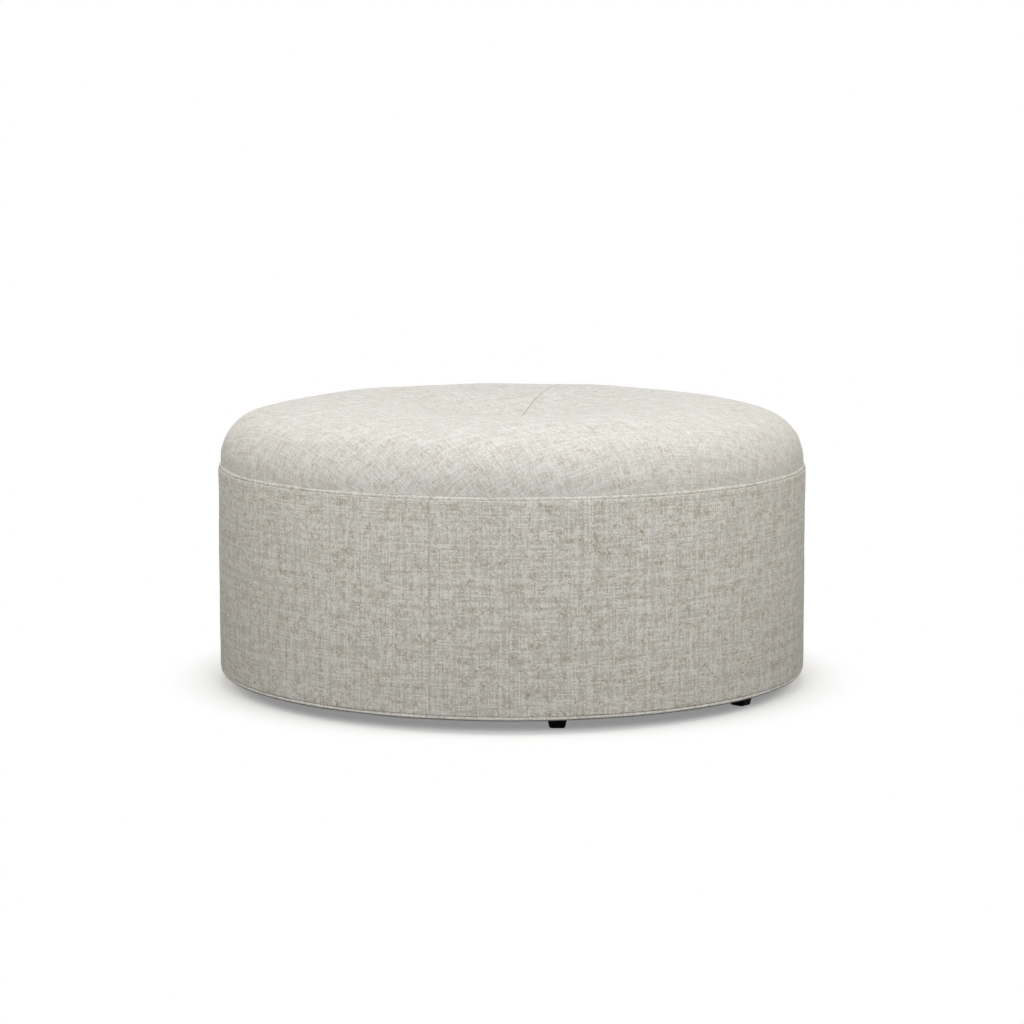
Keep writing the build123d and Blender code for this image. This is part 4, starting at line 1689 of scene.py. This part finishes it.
class Ottoman:
    """The whole piece of furniture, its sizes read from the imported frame.

    The plumpness is a welt's radius over that of its solid, and the sag is how much lower
    the photograph shows it. Widths and places of hems and steps are inwards of the drum.
    """

    plumpness = 1.08
    low_plumpness = 1.28
    top_sag = 0.0039
    low_sag = 0.0008
    hem_width = 0.016
    lip_width = 0.0215
    step_edge = 0.0117
    top_step_foot = 0.0097
    low_step_foot = 0.0103

    def __init__(self, wardrobe: Wardrobe) -> None:
        """Read the levels and radii of the upholstery from the CAD nodes' boxes.

        Args:
            wardrobe: What the pieces are dressed from.
        """
        self.wardrobe = wardrobe
        top_low, top_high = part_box("top_welt_cover")
        low_low, low_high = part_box("bottom_welt_cover")
        dust_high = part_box("dust_cover")[1]
        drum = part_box("band_cover")[1].x
        solid_radius = (top_high.z - top_low.z) / 2
        ring = top_high.x - solid_radius
        top_welt, low_welt = solid_radius * self.plumpness, solid_radius * self.low_plumpness
        hem, lip = drum - self.hem_width, drum - self.lip_width
        top_level, low_level = (top_low.z + top_high.z) / 2, (low_low.z + low_high.z) / 2
        top_step = Step(drum - self.step_edge, drum - self.top_step_foot, top_level)
        low_step = Step(drum - self.step_edge, drum - self.low_step_foot, low_level)
        top_level -= self.top_sag
        low_level -= self.low_sag
        section = CrownSection(drum, top_level)
        steps = (top_step, low_step, top_welt, low_welt)
        # The bottom welt: painted shade under its tube, and its copy of the linen with painted light
        low_look = {"under_shade": 1.0, "look": "linen_painted_light"}
        self.pieces = [
            Crown(section, ring, hem, top_step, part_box("deck_board")[1].z, top_welt),
            CoveredButton(section.seat_level()),
            Welt("top_welt", top_level, ring, hem, top_step, top_welt, seed=3),
            Welt("bottom_welt", low_level, ring, lip, low_step, low_welt, seed=7, **low_look),
            SideBand(drum, top_level, low_level, ring, hem, lip, *steps),
            DustCloth(dust_high.z, dust_high.x, lip - LAYER_GAP),
        ]

    def build(self) -> None:
        """Build every soft piece, and dress the wood, metal and plastic ones."""
        for piece in self.pieces:
            piece.build(self.wardrobe)
        self.wardrobe.dress_frame()


@dataclass(frozen=True)
class Softbox:
    """A square studio lamp, placed as seen by the camera: right, away, up."""

    name: str
    right: float
    away: float
    up: float
    width: float
    power: float
    tint: tuple


@dataclass
class Studio:
    """Camera, floor and light of a plain white studio."""

    azimuth: float = math.radians(15)
    distance: float = 4.745
    height: float = 0.8973
    pitch: float = math.radians(7.6285)
    lens: float = 107.394
    sensor: float = 36.0
    aim_level: float = 0.25
    floor_size: float = 8.0
    floor_shade: tuple = (0.73, 0.73, 0.735)
    floor_veil: float = 0.27
    bounce: float = 0.25
    shadow_shift: float = 0.025
    shadow_fade: tuple = (0.42, 0.56)
    lamps: tuple = (
        Softbox("behind", 0.0, 1.4, 2.5, 2.0, 25.3, (1.0, 0.975, 0.99)),
        Softbox("overhead", 0.0, 0.0, 1.6, 2.0, 5.6, (0.97, 1.0, 0.98)),
        Softbox("overhead_front", 0.0, -1.0, 1.5, 1.2, 3.3, (0.9, 0.95, 1.0)),
        Softbox("front", 0.0, -2.0, 0.9, 0.8, 15.6, (1.0, 0.985, 0.95)),
        Softbox("left", -1.6, -0.4, 1.3, 1.0, 13.7, WARM),
        Softbox("right", 1.6, -0.4, 1.3, 1.0, 14.7, WARM),
    )

    def place(self, right: float, away: float, up: float) -> Vector:
        """Turn a place seen by the camera into the object's frame."""
        cosine, sine = math.cos(self.azimuth), math.sin(self.azimuth)
        return Vector((right * cosine - away * sine, right * sine + away * cosine, up))

    def add(self, name: str, data: bpy.types.ID) -> bpy.types.Object:
        """Link a new object to the scene."""
        made = bpy.data.objects.new(name, data)
        bpy.context.scene.collection.objects.link(made)
        return made

    def set_camera(self) -> None:
        """Stand the camera where the photograph was taken."""
        data = bpy.data.cameras.new("camera")
        data.lens, data.sensor_width = self.lens, self.sensor
        camera = self.add("camera", data)
        camera.location = self.place(0.0, -self.distance, self.height)
        camera.rotation_euler = (UPRIGHT - self.pitch, 0.0, self.azimuth)
        bpy.context.scene.camera = camera

    def set_lamps(self) -> None:
        """Hang the softboxes, each turned to the middle of the drum."""
        for lamp in self.lamps:
            data = bpy.data.lights.new(lamp.name, "AREA")
            data.energy, data.size, data.color = lamp.power, lamp.width, lamp.tint
            box = self.add(lamp.name, data)
            box.location = self.place(lamp.right, lamp.away, lamp.up)
            aim = Vector((0.0, 0.0, self.aim_level)) - box.location
            box.rotation_euler = aim.to_track_quat("-Z", "Y").to_euler()

    def seen(self, s: Shader) -> Socket:
        """1 for rays from the camera, from a gloss or through glass, and 0 for the rest."""
        path = s.node("LightPath").outputs
        direct = s.math("MAXIMUM", path["Is Camera Ray"], path["Is Glossy Ray"])
        return s.math("MAXIMUM", direct, path["Is Transmission Ray"])

    def set_world(self) -> None:
        """White wherever it is seen, and dark for the rest of the light."""
        world = bpy.data.worlds.new("studio")
        s = Shader.fresh(world)
        sky = s.node("Background", {"Color": WHITE, "Strength": self.seen(s)})
        s.node("OutputWorld", {"Surface": sky.outputs[0]})
        bpy.context.scene.world = world

    def floor_material(self) -> bpy.types.Material:
        """Pale near the object, so that its shadow shows, white further off, clear from below.

        Returns:
            The new material.
        """
        material = bpy.data.materials.new("studio_floor")
        s = Shader.fresh(material)
        place = s.object_place()
        middle = tuple(self.place(0.0, self.shadow_shift, 0.0))
        reach = s.node("VectorMath", {0: place, 1: middle}, operation="DISTANCE").outputs["Value"]
        far = s.smooth(reach, *self.shadow_fade)
        lit = s.node("BsdfDiffuse", {"Color": self.floor_shade})
        veil = s.node("Emission", {"Color": WHITE, "Strength": self.floor_veil})
        near = s.node("AddShader", {0: lit.outputs[0], 1: veil.outputs[0]})
        white = s.node("Emission", {"Color": WHITE, "Strength": 1.0})
        shown = s.node("MixShader", {0: far, 1: near.outputs[0], 2: white.outputs[0]})
        plain = s.node("BsdfDiffuse", {"Color": (self.bounce,) * 3})
        both = s.node("MixShader", {0: self.seen(s), 1: plain.outputs[0], 2: shown.outputs[0]})
        under = s.node("NewGeometry").outputs["Backfacing"]
        clear = s.node("BsdfTransparent")
        whole = s.node("MixShader", {0: under, 1: both.outputs[0], 2: clear.outputs[0]})
        s.node("OutputMaterial", {"Surface": whole.outputs[0]})
        return material

    def set_floor(self) -> None:
        """Lay a pale floor that is seen as white, apart from the object's shadow."""
        half = self.floor_size
        mesh = bpy.data.meshes.new("floor")
        corners = [(-half, -half, 0), (half, -half, 0), (half, half, 0), (-half, half, 0)]
        mesh.from_pydata(corners, [], [(0, 1, 2, 3)])
        mesh.materials.append(self.floor_material())
        self.add("floor", mesh)

    def build(self) -> None:
        """Set up the camera, the lamps, the world and the floor."""
        self.set_camera()
        self.set_lamps()
        self.set_world()
        self.set_floor()
        bpy.context.scene.view_settings.view_transform = "Standard"


def main() -> None:
    """Build the studio and the ottoman."""
    logging.basicConfig(level=logging.INFO, format="%(name)s: %(message)s")
    Studio().build()
    Ottoman(Wardrobe()).build()


if __name__ == "__main__":
    main()
